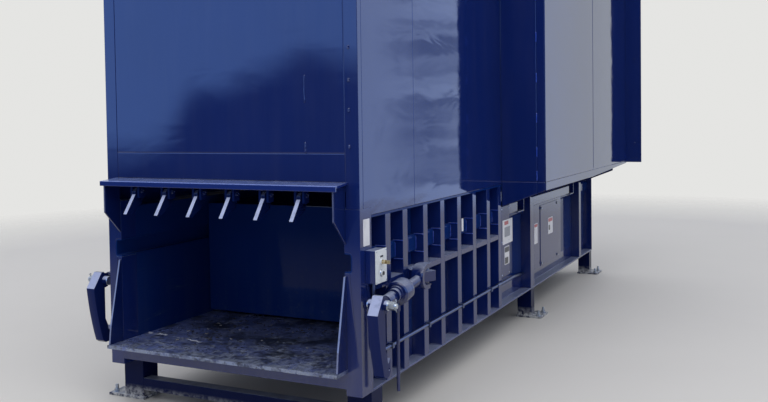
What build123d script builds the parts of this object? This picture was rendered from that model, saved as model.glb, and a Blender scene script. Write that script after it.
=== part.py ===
"""Stationary waste compactor with a hooded feed hopper and a walkway hood to a building wall.

Millimetres, +Z up. The origin is on the ground under the centre of the machine. The discharge
mouth faces -Y and the wall flange faces +Y. Places along the machine are given as a distance
behind the front face of the mouth posts, and "y_of" turns them into Y.
"""
import os
from itertools import accumulate
from math import atan2, cos, degrees, radians, sin, tan

from build123d import *

# Overall sizes
WALL_DISTANCE = 5628.0         # front face of the mouth posts to the building wall
FRAME_WALL_GAP = 168.0         # back of the frame to the building wall
MOUTH_WIDTH = 1524.0           # clear width between the mouth posts
FRAME_BOTTOM = 241.0           # underside of the side sills, and the height of the legs
FLOOR_TOP = 385.0              # top of the chamber floor
FRAME_TOP = 1188.0             # top of the side ribs, where the hoods stand
ROOF_TOP = 3350.0              # top of both hoods

# Mouth posts and header
POST_WIDTH = 95.0
POST_DEPTH = 130.0
POST_TOP = 1229.0
POST_WALL = 10.0
HEADER_BOTTOM = 1320.0
HEADER_DEPTH = 100.0
FRONT_SILL_BOTTOM = 275.0
FRONT_SILL_DEPTH = 80.0

# Side walls, sills, ribs and ram guide channels
WALL_PLATE = 12.0
SILL_FLANGE = 12.0
TOP_FLANGE = 12.0
FLOOR_PLATE = 20.0
GUIDE_LOW = 900.0              # lower running face of the ram guide groove
GUIDE_HIGH = 991.0             # upper running face of the ram guide groove
GUIDE_REACH = 37.0             # how far the groove goes into the wall
GUIDE_PLATE = 8.0
GUIDE_BEND = 18.0              # outside radius of the guide channel's bends
RIB_STEPS = (336.0, 230.0, 298.0, 276.0, 298.0, 298.0, 297.0, 261.0)   # middle of a rib to the next
RIB_FACE = 66.0
RIB_PLATE = 6.0
MID_RAIL_LOW = 779.0
MID_RAIL_HIGH = 812.0

# Rear side frame, behind the hopper
MIDDLE_POST_PLACE = 758.0      # front of the middle post behind the back of the hopper
MIDDLE_POST_DEPTH = 105.0
END_POST_PLACE = 590.0         # front of the end post in front of the back of the frame
END_POST_DEPTH = 83.0
REAR_POST_WALL = 8.0
TOP_RAIL_LOW = 945.0
TOP_RAIL_HIGH = 1020.0
FRONT_RAIL_LENGTH = 218.0
REAR_RAIL_END = 415.0          # back of the rear rail in front of the end post
TOP_RAIL_PLATE = 8.0
FRONT_CLEAT = (13.0, 169.0)    # gap behind the front rail, and length
REAR_CLEAT = (25.0, 160.0)     # gap behind the rear rail, and length
CLEAT_LOW = 930.0
CLEAT_PLATE = 8.0
END_FLANGE = 12.0

# Access panel and its door on the right rear side
PANEL_PLATE = 6.0
DOOR_FRONT_MARGIN = 190.0      # panel in front of the door
DOOR_LENGTH = 580.0
DOOR_BACK_MARGIN = 137.0       # panel behind the door
DOOR_LOW_MARGIN = 7.0
DOOR_TOP_MARGIN = 20.0
DOOR_PLATE = 5.0
DOOR_LAP = 45.0                # how far the door laps over its opening all round
DOOR_BOLT_INSET = 25.0
DOOR_BOLT_HEAD = 19.0          # across the flats
DOOR_BOLT_HEAD_HEIGHT = 8.0

# Junction box beside the last rib
JUNCTION_WIDTH = 203.0
JUNCTION_HEIGHT = (470.0, 1015.0)
JUNCTION_COVER = 3.0

# Beams under the chamber floor
FIRST_BEAM = 480.0
BEAM_SPACING = 700.0
BEAM_DEPTH = 60.0

# Snout: floor plate, lip and cheek plates in front of the posts
SNOUT_REACH = 125.0
CHEEK_PLATE = 12.0
LIP_BACK_TOP = 1370.0
LIP_FRONT_TOP = 1358.0
LIP_PLATE = 12.0
LIP_FLANGE = 28.0
LIP_OVERHANG = 16.0
UPPER_CHEEK_FRONT_LOW = 1172.0
UPPER_CHEEK_BACK_LOW = 1041.0
LOWER_CHEEK_TOP = 876.0
LOWER_CHEEK_REACH = 113.0
LOWER_CHEEK_KNEE = 110.0       # height of the lower cheek's knee over the floor
LOWER_CHEEK_KNEE_REACH = 99.0
CHEEK_TOP_WIDTH = 14.0

# Retaining teeth under the lip
TOOTH_COUNT = 6
TOOTH_PITCH = 222.0
TOOTH_PLATE = 25.0
TOOTH_PIVOT_DEPTH = -78.0      # in front of the post face
TOOTH_PIVOT_HEIGHT = 1300.0
TOOTH_PIN_RADIUS = 10.0
TOOTH_TIP_REACH = 112.0        # tip in front of the pivot
TOOTH_TIP_DROP = 124.0         # tip below the pivot
TOOTH_TIP_WIDTH = 20.0
TOOTH_FRONT = 34.0             # front of a tooth's head in front of the pivot
TOOTH_BACK = 33.0              # back of a tooth's head behind the pivot
TOOTH_HEAD = 18.0              # top of a tooth's head above the pivot
TOOTH_BROW = 16.0              # where the front edge starts below the pivot
TOOTH_HEEL = (12.0, 80.0)      # heel of the back edge behind and below the pivot
LUG_PLATE = 14.0
LUG_GAP = 5.0                  # side clearance between a tooth and a lug
LUG_WIDTH = 52.0
LUG_DROP = 38.0                # lug below the pivot
PIN_CLEARANCE = 0.05           # radial, for every turning pin

# Packing ram
RAM_FACE_PLACE = 840.0         # where the ram stands in the photograph
RAM_LENGTH = 2200.0
RAM_BOTTOM = 405.0
RAM_TOP = 1140.0
RAM_SIDE_GAP = 8.0
RAM_FACE_PLATE = 20.0
RAM_PLATE = 12.0
SHOE_GAP = 2.0
SHOE_LENGTH = 260.0
SHOE_INSET = 40.0
SHOE_CHAMFER = 6.0
WEAR_GAP = 0.3
WEAR_BAR_WIDTH = 70.0
WEAR_BAR_INSET = 40.0

# Ram cylinder
CYLINDER_HEIGHT = 760.0
CYLINDER_RADIUS = 95.0
CYLINDER_BORE = 76.0
CYLINDER_LENGTH = 2710.0
GLAND_LENGTH = 90.0
CAP_LENGTH = 40.0
ROD_RADIUS = 50.0
ROD_LENGTH = 2935.0
PISTON_LENGTH = 60.0
ROD_FLANGE_RADIUS = 110.0
ROD_FLANGE_LENGTH = 30.0
ROD_RUN_CLEARANCE = 0.08
CLEVIS_PIN_SETBACK = 86.0      # clevis pin in front of the back of the frame
CLEVIS_PIN_RADIUS = 30.0
CLEVIS_PIN_END = 12.0          # pin outside each lug
CLEVIS_NECK = 44.0             # back of the barrel to the clevis pin
CLEVIS_EYE_HALF = 45.0
CLEVIS_EYE_RADIUS = 60.0
CLEVIS_LUG_PLATE = 25.0
CLEVIS_LUG_GAP = 4.0
CLEVIS_SIDE_GAP = 1.0
END_PLATE = 20.0

# Hydraulic power unit
TANK_SIZE = (420.0, 620.0, 400.0)
TANK_X = 500.0
TANK_SETBACK = 500.0           # middle of the tank in front of the back of the frame
TANK_PLATE = 6.0
MOTOR_RADIUS = 105.0
MOTOR_LENGTH = 330.0
MOTOR_FOOT = 18.0
MOTOR_FOOT_INSET = 30.0
MOTOR_FOOT_DROP = 40.0         # top of the foot below the motor's axis
PUMP_RADIUS = 60.0
PUMP_LENGTH = 130.0
PUMP_PORT_SPACING = 60.0
LINE_RADIUS = 11.0
LINE_BEND = 30.0
LINE_RISE = 70.0               # run of a line above its port
LINE_OFFSET = 60.0             # first line beside the cylinder
LINE_SPACING = 40.0
FRONT_PORT_SETBACK = 120.0     # front port behind the gland
BACK_PORT_SETBACK = 60.0       # back port in front of the cap

# Hopper hood over the charge box
HOPPER_BEHIND_RIB = 58.0       # back of the hopper behind the last rib's middle
HOOD_PLATE = 6.0
CORNER_FRONT = 82.0            # width of the corner strip on the front
CORNER_SIDE = 41.0             # width of the corner strip on the side
FRONT_SEAM = 1521.0
SIDE_SEAM = 705.0
SEAM_CHAMFER = 2.5

# Walkway hood between the hopper and the wall
WALKWAY_HALF_WIDTH = 1201.0
WALKWAY_SEAM = 3975.0
DECK_PLATE = 12.0
EDGE_BEAM_LOW = 1148.0
EDGE_BEAM_HIGH = 1210.0
EDGE_BEAM_LOW_AT_WALL = 1188.0
EDGE_BEAM_PLATE = 8.0
STEP_INNER_LOW = 1017.0
STEP_SEAM_INSET = 69.0          # seam of the step panels inside the walkway's side
KNEE_PLATE = 8.0
WALL_FLANGE_WIDTH = 157.0
WALL_FLANGE_PLATE = 10.0
WALL_FLANGE_LOW = 1198.0
WALL_BOLT_RADIUS = 9.0
WALL_BOLT_REACH = 84.0          # wall bolts outside the walkway's side
WALL_BOLT_HEIGHTS = (1400.0, 2300.0, 3200.0)

# Legs, foot plates and anchors
LEG_WALL = 8.0
FRONT_LEG = (147.0, 133.0)     # width and depth
FRONT_LEG_PLACE = 105.0
REAR_LEG = (120.0, 100.0)
MIDDLE_LEG_INSET = 2.0         # front of the middle leg behind the front of its post
END_LEG_SETBACK = 130.0        # front of the end leg in front of the back of the frame
FOOT_PLATE = 16.0
FOOT_LENGTH = 220.0
FOOT_INSET = 10.0              # foot plate past the inside and the front of a leg
FRONT_FOOT_REACH = 123.0       # foot plate past the outside of a front leg
REAR_FOOT_REACH = 90.0
ANCHOR_RADIUS = 10.0
ANCHOR_HOLE_RADIUS = 11.0
ANCHOR_TOP = 62.0
ANCHOR_NUT = 30.0
ANCHOR_NUT_HEIGHT = 16.0
ANCHOR_WASHER_RADIUS = 22.0
ANCHOR_WASHER = 3.0
ANCHOR_EDGE = 35.0
SPARE_HOLE_EDGE = 30.0
SPARE_HOLE_PITCH = 90.0
TIE_SIZE = 75.0
TIE_BOTTOM = 58.0
TIE_WALL = 6.0

# Ratchet binders on both sides: places are behind the post face, with a height
BINDER_X = 955.0
BINDER_PIVOT = (605.0, 792.0)      # vertical swing pin
BINDER_PIN = (28.0, 735.0)         # claw pin
SWING_PIN_RADIUS = 16.0

# Bracket that carries a binder: an arm that slants forward from the ribs
BRACKET_TURN = 26.0                # degrees forward of straight out
BRACKET_ARM_WIDTH = 100.0
BRACKET_ARM_HEIGHT = 60.0
BRACKET_ARM_END = 46.0             # end of the arm past the swing pin
BRACKET_BOSS_RADIUS = 30.0
BRACKET_BASE = (126.0, 74.0)       # length and height
BRACKET_BASE_PLATE = 10.0

# Forged yoke round the bracket's arm
YOKE_THROAT_HALF = 48.0            # half the height of the throat, and its front radius
YOKE_THROAT_REACH = 80.0           # front of the throat in front of the swing pin
YOKE_PLATE = 24.0
YOKE_HALF_WIDTH = 36.0
YOKE_GAP = 0.4
STUB_RADIUS = 27.0
STUB_GAP = 0.4

# Ratchet barrel, draw screw and lever: distances along the binder axis from the claw pin
BARREL_RADIUS = 38.0
BARREL_FRONT = 160.0
BARREL_BACK = 345.0
COLLAR_RADIUS = 47.0
COLLAR_LENGTH = 12.0
COLLAR_GAP = 0.5
SCREW_RADIUS = 22.0
SCREW_BACK = 330.0
SCREW_HOLE_CLEARANCE = 0.08
SHOULDER_RADIUS = 32.0
SHOULDER_FRONT = 62.0
SHOULDER_BACK = 145.0
EYE_RADIUS = 34.0
EYE_THICKNESS = 28.0
EYE_FLAT = 57.0                    # how far the flats of the eye run back
LEVER_RING_RADIUS = 66.0
LEVER_RING_FRONT = 198.0
LEVER_RING_BACK = 300.0
LEVER_RING_CHAMFER = 7.0
LEVER_BAR_PLACE = 210.0            # bar behind the claw pin
LEVER_BAR_RADIUS = 9.5
LEVER_BOTTOM = 224.0
LEVER_SOCKET_RADIUS = 14.5
LEVER_SOCKET_LOW = 660.0

# Claw: its outline is given behind and above the claw pin
CLAW_HALF_WIDTH = 30.0
CLAW_TOP = (-28.0, 52.0)
CLAW_BROW = (-94.0, -38.0)         # foot of the bevel
CLAW_BELLY = (-69.0, -200.0)       # middle of the bowed front
CLAW_FOOT = (-26.0, -367.0)
CLAW_TOE = ((-6.0, -381.0), (32.0, -381.0), (50.0, -361.0), (50.0, -299.0), (43.0, -286.0), (36.0, -299.0))
CLAW_THROAT = ((26.0, -311.0), (16.0, -299.0), (14.0, -275.0))
CLAW_BACK = -4.0                   # back of the shank
CLAW_BACK_LOW = -235.0             # where the shank widens into the hook
CLAW_BACK_TOP = 40.0
CLAW_HEAD_RADIUS = 44.0
CLAW_SLOT_GAP = 1.0                # side clearance of the eye
CLAW_BOSS_RADIUS = 27.0
CLAW_INNER_BOSS = 32.0
CLAW_OUTER_BOSS = 17.0
CLAW_PIN_RADIUS = 13.0
CLAW_PIN_HEAD = 5.0
CLAW_WASHER = (23.0, 5.0)          # radius and thickness
CLAW_NUT = (40.0, 34.0)            # across the flats and height
CLAW_PIN_END = 10.0                # pin past the nut
TOE_HOLE_RADIUS = 7.0
TOE_HOLE = (34.0, -343.0)

# Key switch station on the right post
STATION_SPAN = (56.0, 184.0)
STATION_HEIGHT = (834.0, 1009.0)
STATION_DEPTH = 58.0
STATION_WALL = 2.5
STATION_COVER = 4.0
STATION_COVER_LAP = 2.0
KEY_PLACE = (122.0, 944.0)
BUTTON_PLACE = (122.0, 884.0)
KEY_BARREL_RADIUS = 11.0
KEY_BARREL_LENGTH = 26.0
KEY_BARREL_INSIDE = 12.0
KEY_COLLAR = (16.0, 6.0)           # radius and length
KEY_BOW = (24.0, 3.0, 20.0)        # length, thickness and height
BUTTON_RADIUS = 10.0
BUTTON_INSIDE = 8.0
BUTTON_RING_RADIUS = 15.0
BUTTON_RING_LENGTH = 10.0
BUTTON_TRAVEL = 4.0

# Conduit along the right side
CONDUIT_RADIUS = 10.7
CONDUIT_GAP = 0.6
CONDUIT_HEIGHT = 441.0
CONDUIT_END_X = 788.0
CONDUIT_END_HEIGHT = 378.0
CONDUIT_END_RUN = 70.0             # straight end in front of the middle post
CONDUIT_BEND = 70.0
CONDUIT_TURN_IN = 60.0             # where it turns in behind the junction box
CLAMP_EVERY = 2                    # a clamp on every second rib
CLAMP_WIDTH = 24.0
CLAMP_WALL = 4.0
COUPLING_RADIUS = 15.0
COUPLING_SETBACK = 114.0           # front of the coupling in front of the last rib's middle
COUPLING_LENGTH = 55.0

# Worked out from the sizes above
MACHINE_LENGTH = WALL_DISTANCE - FRAME_WALL_GAP    # front face of the posts to the back of the frame
RIB_PLACES = tuple(accumulate(RIB_STEPS))
HOPPER_BACK = RIB_PLACES[-1] + HOPPER_BEHIND_RIB
JUNCTION_FRONT = RIB_PLACES[-1] + RIB_FACE / 2
JUNCTION_BACK = JUNCTION_FRONT + JUNCTION_WIDTH
MIDDLE_POST_FRONT = HOPPER_BACK + MIDDLE_POST_PLACE
MIDDLE_POST_BACK = MIDDLE_POST_FRONT + MIDDLE_POST_DEPTH
END_POST_FRONT = MACHINE_LENGTH - END_POST_PLACE
REAR_POSTS = ((MIDDLE_POST_FRONT, MIDDLE_POST_BACK), (END_POST_FRONT, END_POST_FRONT + END_POST_DEPTH))
CLEVIS_PIN_PLACE = MACHINE_LENGTH - CLEVIS_PIN_SETBACK
CYLINDER_BACK = CLEVIS_PIN_PLACE - CLEVIS_NECK
CYLINDER_FRONT = CYLINDER_BACK - CYLINDER_LENGTH
TOOTH_TIP_PLACE = TOOTH_PIVOT_DEPTH - TOOTH_TIP_REACH
CENTRE_PLACE = (WALL_DISTANCE + TOOTH_TIP_PLACE) / 2
HALF_MOUTH = MOUTH_WIDTH / 2
SIDE_X = HALF_MOUTH + POST_WIDTH
WALL_OUTSIDE = HALF_MOUTH + WALL_PLATE
GUIDE_BACK = HALF_MOUTH + GUIDE_REACH
GUIDE_OUTSIDE = GUIDE_BACK + GUIDE_PLATE
RAM_HALF_WIDTH = HALF_MOUTH - RAM_SIDE_GAP
HOOD_WALL_TOP = ROOF_TOP - HOOD_PLATE
FLOOR_BOTTOM = FLOOR_TOP - FLOOR_PLATE
SILL_TOP = FRAME_BOTTOM + SILL_FLANGE
RIB_TOP = FRAME_TOP - TOP_FLANGE

os.makedirs("parts", exist_ok=True)


def y_of(place):
    """Y of a place given as a distance behind the front face of the mouth posts."""
    return place - CENTRE_PLACE


def block(x_span, place_span, z_span):
    """A rectangular solid between two X values, two places and two heights."""
    x_low, x_high = sorted(x_span)
    y_low, y_high = (y_of(place) for place in place_span)
    z_low, z_high = z_span
    size = Box(x_high - x_low, y_high - y_low, z_high - z_low)
    return Pos((x_low + x_high) / 2, (y_low + y_high) / 2, (z_low + z_high) / 2) * size


def side_plate(outline, x_low, x_high):
    """A plate cut to an outline of (place, height) points, between two X values."""
    points = [(y_of(place), height) for place, height in outline]
    face = Plane.YZ.offset(x_low) * make_face(Polyline(*points, close=True))
    return extrude(face, x_high - x_low, dir=(1, 0, 0))


def cross_plate(outline, place_low, place_high):
    """A plate cut to an outline of (x, height) points, between two places."""
    face = Plane.XZ.offset(-y_of(place_low)) * make_face(Polyline(*outline, close=True))
    return extrude(face, place_high - place_low, dir=(0, 1, 0))


def flat_plate(outline, z_low, z_high):
    """A profile of (x, place) points, standing between two heights."""
    points = [(x, y_of(place)) for x, place in outline]
    face = Pos(0, 0, z_low) * make_face(Polyline(*points, close=True))
    return extrude(face, z_high - z_low, dir=(0, 0, 1))


def rod_x(x_low, x_high, place, height, radius):
    """A round bar along X."""
    bar = Cylinder(radius, x_high - x_low, rotation=(0, 90, 0))
    return Pos((x_low + x_high) / 2, y_of(place), height) * bar


def rod_y(x, place_low, place_high, height, radius):
    """A round bar along Y."""
    bar = Cylinder(radius, place_high - place_low, rotation=(90, 0, 0))
    return Pos(x, y_of((place_low + place_high) / 2), height) * bar


def rod_z(x, place, z_low, z_high, radius):
    """A round bar along Z."""
    return Pos(x, y_of(place), (z_low + z_high) / 2) * Cylinder(radius, z_high - z_low)


def hexagon(across, height):
    """A hexagonal prism standing on the XY plane."""
    return extrude(RegularPolygon(across / 2, 6, major_radius=False), height)


def mirrored(solid):
    """The same piece on the other side of the machine."""
    return mirror(solid, about=Plane.YZ)


def both_sides(*solids):
    """The given right-hand pieces and their left-hand copies."""
    return [*solids, *(mirrored(solid) for solid in solids)]


def save(name, *solids):
    """Write one sub-part to its own STEP file."""
    pieces = [piece for solid in solids for piece in solid.solids()]
    shape = pieces[0] if len(pieces) == 1 else Compound(children=pieces)
    shape.label = name
    export_step(shape, f"parts/{name}.step")


def guide_bar(x_high, place_span, z_span, radius):
    """A bar from the inside of the right wall out to an X, with its two outer edges rounded."""
    bar = block((HALF_MOUTH, x_high), place_span, z_span)
    outer_edges = bar.edges().filter_by(Axis.Y).group_by(Axis.X)[-1]
    return fillet(outer_edges, radius)


def guide_envelope():
    """The space that the right guide channel takes out of the ribs and the post."""
    height = (GUIDE_LOW - GUIDE_PLATE, GUIDE_HIGH + GUIDE_PLATE)
    return guide_bar(GUIDE_OUTSIDE, (0, MACHINE_LENGTH), height, GUIDE_BEND)


def front_frame():
    """Mouth posts, the header over the mouth and the cross sill under it."""
    span = (0, POST_DEPTH)
    post = block((HALF_MOUTH, SIDE_X), span, (FRAME_BOTTOM, POST_TOP))
    hollow_x = (HALF_MOUTH + POST_WALL, SIDE_X - POST_WALL)
    hollow = block(hollow_x, (POST_WALL, POST_DEPTH - POST_WALL), (FRAME_BOTTOM - 1, POST_TOP - POST_WALL))
    post = post - hollow - guide_envelope()
    header = block((-SIDE_X + CORNER_FRONT, SIDE_X - CORNER_FRONT), (0, HEADER_DEPTH),
                   (HEADER_BOTTOM, LIP_BACK_TOP))
    sill_height = (FRONT_SILL_BOTTOM, FLOOR_BOTTOM)
    sill = block((-HALF_MOUTH, HALF_MOUTH), (0, FRONT_SILL_DEPTH), sill_height)
    sill_hollow = block((-HALF_MOUTH - 1, HALF_MOUTH + 1), (POST_WALL, FRONT_SILL_DEPTH + 1),
                        (FRONT_SILL_BOTTOM + POST_WALL, FLOOR_BOTTOM - POST_WALL))
    save("front_frame", *both_sides(post), header, sill - sill_hollow)


def side_walls():
    """Chamber walls below and above the guide grooves, and the flange over the ribs."""
    wall_x = (HALF_MOUTH, WALL_OUTSIDE)
    low = block(wall_x, (POST_DEPTH, MACHINE_LENGTH), (FLOOR_BOTTOM, GUIDE_LOW - GUIDE_PLATE))
    high = block(wall_x, (POST_DEPTH, MACHINE_LENGTH), (GUIDE_HIGH + GUIDE_PLATE, FRAME_TOP))
    flange = block((WALL_OUTSIDE, SIDE_X), (POST_DEPTH, HOPPER_BACK), (RIB_TOP, FRAME_TOP))
    save("side_walls", *both_sides(low, high, flange))


def guide_channels():
    """C-shaped channels that stand out of the walls and carry the ram's shoes."""
    run = (-1, MACHINE_LENGTH + 1)
    groove = guide_bar(GUIDE_BACK, run, (GUIDE_LOW, GUIDE_HIGH), GUIDE_BEND - GUIDE_PLATE)
    save("guide_channels", *both_sides(guide_envelope() - groove))


def side_sills():
    """Angle sills: a web under each wall and a flange that the ribs stand on."""
    outline = [
        (HALF_MOUTH, FRAME_BOTTOM), (SIDE_X, FRAME_BOTTOM), (SIDE_X, SILL_TOP),
        (WALL_OUTSIDE, SILL_TOP), (WALL_OUTSIDE, FLOOR_BOTTOM), (HALF_MOUTH, FLOOR_BOTTOM),
    ]
    save("side_sills", *both_sides(cross_plate(outline, POST_DEPTH, MACHINE_LENGTH)))


def rib(place):
    """One formed channel rib, open towards the wall, cut out around the guide channel."""
    front, back = place - RIB_FACE / 2, place + RIB_FACE / 2
    inner_x = SIDE_X - RIB_PLATE
    outline = [
        (WALL_OUTSIDE, front), (SIDE_X, front), (SIDE_X, back), (WALL_OUTSIDE, back),
        (WALL_OUTSIDE, back - RIB_PLATE), (inner_x, back - RIB_PLATE),
        (inner_x, front + RIB_PLATE), (WALL_OUTSIDE, front + RIB_PLATE),
    ]
    return flat_plate(outline, SILL_TOP, RIB_TOP) - guide_envelope()


def mid_rails():
    """Short rail pieces between the ribs, level with their outer faces."""
    edges = [POST_DEPTH]
    for place in RIB_PLACES:
        edges += [place - RIB_FACE / 2, place + RIB_FACE / 2]
    gaps = zip(edges[0:-1:2], edges[1::2])
    return [block((WALL_OUTSIDE, SIDE_X), gap, (MID_RAIL_LOW, MID_RAIL_HIGH)) for gap in gaps]


def side_ribs():
    """Ribs and mid rails of the charge box, one node a side."""
    pieces = [rib(place) for place in RIB_PLACES] + mid_rails()
    save("right_side_ribs", *pieces)
    save("left_side_ribs", *(mirrored(piece) for piece in pieces))


def rear_side_frame():
    """Tube posts, top rails, deck cleats and the end flange behind the charge box."""
    pieces = []
    wall = REAR_POST_WALL
    for front, back in REAR_POSTS:
        tube = block((WALL_OUTSIDE, SIDE_X), (front, back), (SILL_TOP, FRAME_TOP))
        hollow = block((WALL_OUTSIDE + wall, SIDE_X - wall), (front + wall, back - wall),
                       (SILL_TOP - 1, FRAME_TOP + 1))
        pieces.append(tube - hollow - guide_envelope())

    front_rail = (JUNCTION_BACK, JUNCTION_BACK + FRONT_RAIL_LENGTH)
    rear_rail = (MIDDLE_POST_BACK, END_POST_FRONT - REAR_RAIL_END)
    wall = TOP_RAIL_PLATE
    for rail_span, cleat in ((front_rail, FRONT_CLEAT), (rear_rail, REAR_CLEAT)):
        front, back = rail_span
        rail = block((WALL_OUTSIDE, SIDE_X), rail_span, (TOP_RAIL_LOW, TOP_RAIL_HIGH))
        hollow = block((WALL_OUTSIDE - 1, SIDE_X - wall), (front - 1, back + 1),
                       (TOP_RAIL_LOW + wall, TOP_RAIL_HIGH - wall))
        pieces.append(rail - hollow - guide_envelope())

        gap, length = cleat
        cleat_front = back + gap
        cleat_back = cleat_front + length
        across = (GUIDE_OUTSIDE, SIDE_X)
        shelf = block(across, (cleat_front, cleat_back), (CLEAT_LOW, CLEAT_LOW + CLEAT_PLATE))
        upright = block(across, (cleat_back - CLEAT_PLATE, cleat_back), (CLEAT_LOW, FRAME_TOP))
        pieces.append(shelf + upright)

    end = (MACHINE_LENGTH - END_FLANGE, MACHINE_LENGTH)
    flange = block((WALL_OUTSIDE, SIDE_X), end, (SILL_TOP, FRAME_TOP))
    pieces.append(flange - guide_envelope())
    save("rear_side_frame", *both_sides(*pieces))


def access_panel():
    """The panel on the right rear side, its bolted door and the door's bolts."""
    door_front = MIDDLE_POST_BACK + DOOR_FRONT_MARGIN
    door_back = door_front + DOOR_LENGTH
    door_low = FLOOR_TOP + DOOR_LOW_MARGIN
    door_high = TOP_RAIL_LOW - DOOR_TOP_MARGIN
    panel_span = (MIDDLE_POST_BACK, door_back + DOOR_BACK_MARGIN)
    panel = block((SIDE_X - PANEL_PLATE, SIDE_X), panel_span, (FLOOR_TOP, TOP_RAIL_LOW))
    opening = block((SIDE_X - 2 * PANEL_PLATE, SIDE_X + 1), (door_front + DOOR_LAP, door_back - DOOR_LAP),
                    (door_low + DOOR_LAP, door_high - DOOR_LAP))
    save("access_panel", panel - opening)

    save("access_door", block((SIDE_X, SIDE_X + DOOR_PLATE), (door_front, door_back), (door_low, door_high)))

    bolts = []
    for place in (door_front + DOOR_BOLT_INSET, door_back - DOOR_BOLT_INSET):
        for height in (door_low + DOOR_BOLT_INSET, door_high - DOOR_BOLT_INSET):
            head = hexagon(DOOR_BOLT_HEAD, DOOR_BOLT_HEAD_HEIGHT)
            bolts.append(Pos(SIDE_X + DOOR_PLATE, y_of(place), height) * Rot(0, 90, 0) * head)
    save("door_bolts", *bolts)


def junction_box():
    """The closed wiring box beside the last rib, with its screwed cover."""
    span = (JUNCTION_FRONT, JUNCTION_BACK)
    body = block((WALL_OUTSIDE, SIDE_X - JUNCTION_COVER), span, JUNCTION_HEIGHT)
    cover = block((SIDE_X - JUNCTION_COVER, SIDE_X), span, JUNCTION_HEIGHT)
    save("junction_box", body - guide_envelope(), cover)


def floor():
    """The chamber floor plate with its snout tongue, and the beams under it."""
    plate = block((-HALF_MOUTH, HALF_MOUTH), (0, MACHINE_LENGTH), (FLOOR_BOTTOM, FLOOR_TOP))
    tongue_half = HALF_MOUTH + CHEEK_PLATE
    tongue = block((-tongue_half, tongue_half), (-SNOUT_REACH, 0), (FLOOR_BOTTOM, FLOOR_TOP))
    save("chamber_floor", plate + tongue)

    beams = []
    place = FIRST_BEAM
    while place < MACHINE_LENGTH - BEAM_DEPTH:
        back = place + BEAM_DEPTH
        beam = block((-HALF_MOUTH, HALF_MOUTH), (place, back), (SILL_TOP, FLOOR_BOTTOM))
        hollow = block((-HALF_MOUTH - 1, HALF_MOUTH + 1), (place + POST_WALL, back + 1),
                       (SILL_TOP + POST_WALL, FLOOR_BOTTOM - POST_WALL))
        beams.append(beam - hollow)
        place += BEAM_SPACING
    save("floor_beams", *beams)


def snout():
    """The lip over the mouth and the cheek plates at its sides."""
    half = HALF_MOUTH + CHEEK_PLATE + LIP_OVERHANG
    flange_low = LIP_FRONT_TOP - LIP_FLANGE
    outline = [
        (0, LIP_BACK_TOP), (-SNOUT_REACH - LIP_PLATE, LIP_FRONT_TOP), (-SNOUT_REACH - LIP_PLATE, flange_low),
        (-SNOUT_REACH, flange_low), (-SNOUT_REACH, LIP_FRONT_TOP - LIP_PLATE), (0, LIP_BACK_TOP - LIP_PLATE),
    ]
    save("mouth_lip", side_plate(outline, -half, half))

    inner = HALF_MOUTH
    outer = HALF_MOUTH + CHEEK_PLATE
    upper = side_plate([
        (0, LIP_BACK_TOP - LIP_PLATE), (-SNOUT_REACH, LIP_FRONT_TOP - LIP_PLATE),
        (-SNOUT_REACH, UPPER_CHEEK_FRONT_LOW), (0, UPPER_CHEEK_BACK_LOW),
    ], inner, outer)
    lower = side_plate([
        (0, FLOOR_TOP), (-LOWER_CHEEK_REACH, FLOOR_TOP),
        (-LOWER_CHEEK_KNEE_REACH, FLOOR_TOP + LOWER_CHEEK_KNEE),
        (-CHEEK_TOP_WIDTH, LOWER_CHEEK_TOP), (0, LOWER_CHEEK_TOP),
    ], inner, outer)
    save("snout_cheeks", *both_sides(upper, lower))


def tooth_x(index):
    """X of a retaining tooth."""
    return (index - (TOOTH_COUNT - 1) / 2) * TOOTH_PITCH


def lip_underside(place):
    """Height of the underside of the lip at a place in front of the posts."""
    slope = (LIP_BACK_TOP - LIP_FRONT_TOP) / SNOUT_REACH
    return LIP_BACK_TOP - LIP_PLATE + slope * place


def retaining_teeth():
    """Swinging teeth, the lug pairs they hang between, and their pins."""
    pivot, height = TOOTH_PIVOT_DEPTH, TOOTH_PIVOT_HEIGHT
    tip_height = height - TOOTH_TIP_DROP
    heel_place, heel_drop = TOOTH_HEEL
    lugs = []
    pins = []
    lug_low = height - LUG_DROP
    for index in range(TOOTH_COUNT):
        x = tooth_x(index)
        outline = [
            (pivot - TOOTH_FRONT, height), (pivot - TOOTH_FRONT, height - TOOTH_BROW),
            (TOOTH_TIP_PLACE, tip_height),
            (TOOTH_TIP_PLACE + TOOTH_TIP_WIDTH, tip_height - TOOTH_TIP_WIDTH / 3),
            (pivot + heel_place, height - heel_drop), (pivot + TOOTH_BACK, height - heel_drop / 2),
            (pivot + TOOTH_BACK, height), (pivot + TOOTH_BACK / 2, height + TOOTH_HEAD),
            (pivot - TOOTH_FRONT / 2, height + TOOTH_HEAD),
        ]
        tooth = side_plate(outline, x - TOOTH_PLATE / 2, x + TOOTH_PLATE / 2)
        bore = rod_x(x - TOOTH_PLATE, x + TOOTH_PLATE, pivot, height, TOOTH_PIN_RADIUS + PIN_CLEARANCE)
        save(f"tooth_{index + 1}", tooth - bore)

        front, back = pivot - LUG_WIDTH / 2, pivot + LUG_WIDTH / 2
        for side in (-1, 1):
            near = x + side * (TOOTH_PLATE / 2 + LUG_GAP)
            far = near + side * LUG_PLATE
            plate = side_plate([
                (front, lug_low), (back, lug_low), (back, lip_underside(back)), (front, lip_underside(front)),
            ], min(near, far), max(near, far))
            hole = rod_x(min(near, far) - 1, max(near, far) + 1, pivot, height, TOOTH_PIN_RADIUS)
            lugs.append(plate - hole)
        reach = TOOTH_PLATE / 2 + LUG_GAP + LUG_PLATE
        pins.append(rod_x(x - reach, x + reach, pivot, height, TOOTH_PIN_RADIUS))
    save("tooth_hangers", *lugs, *pins)


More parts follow.
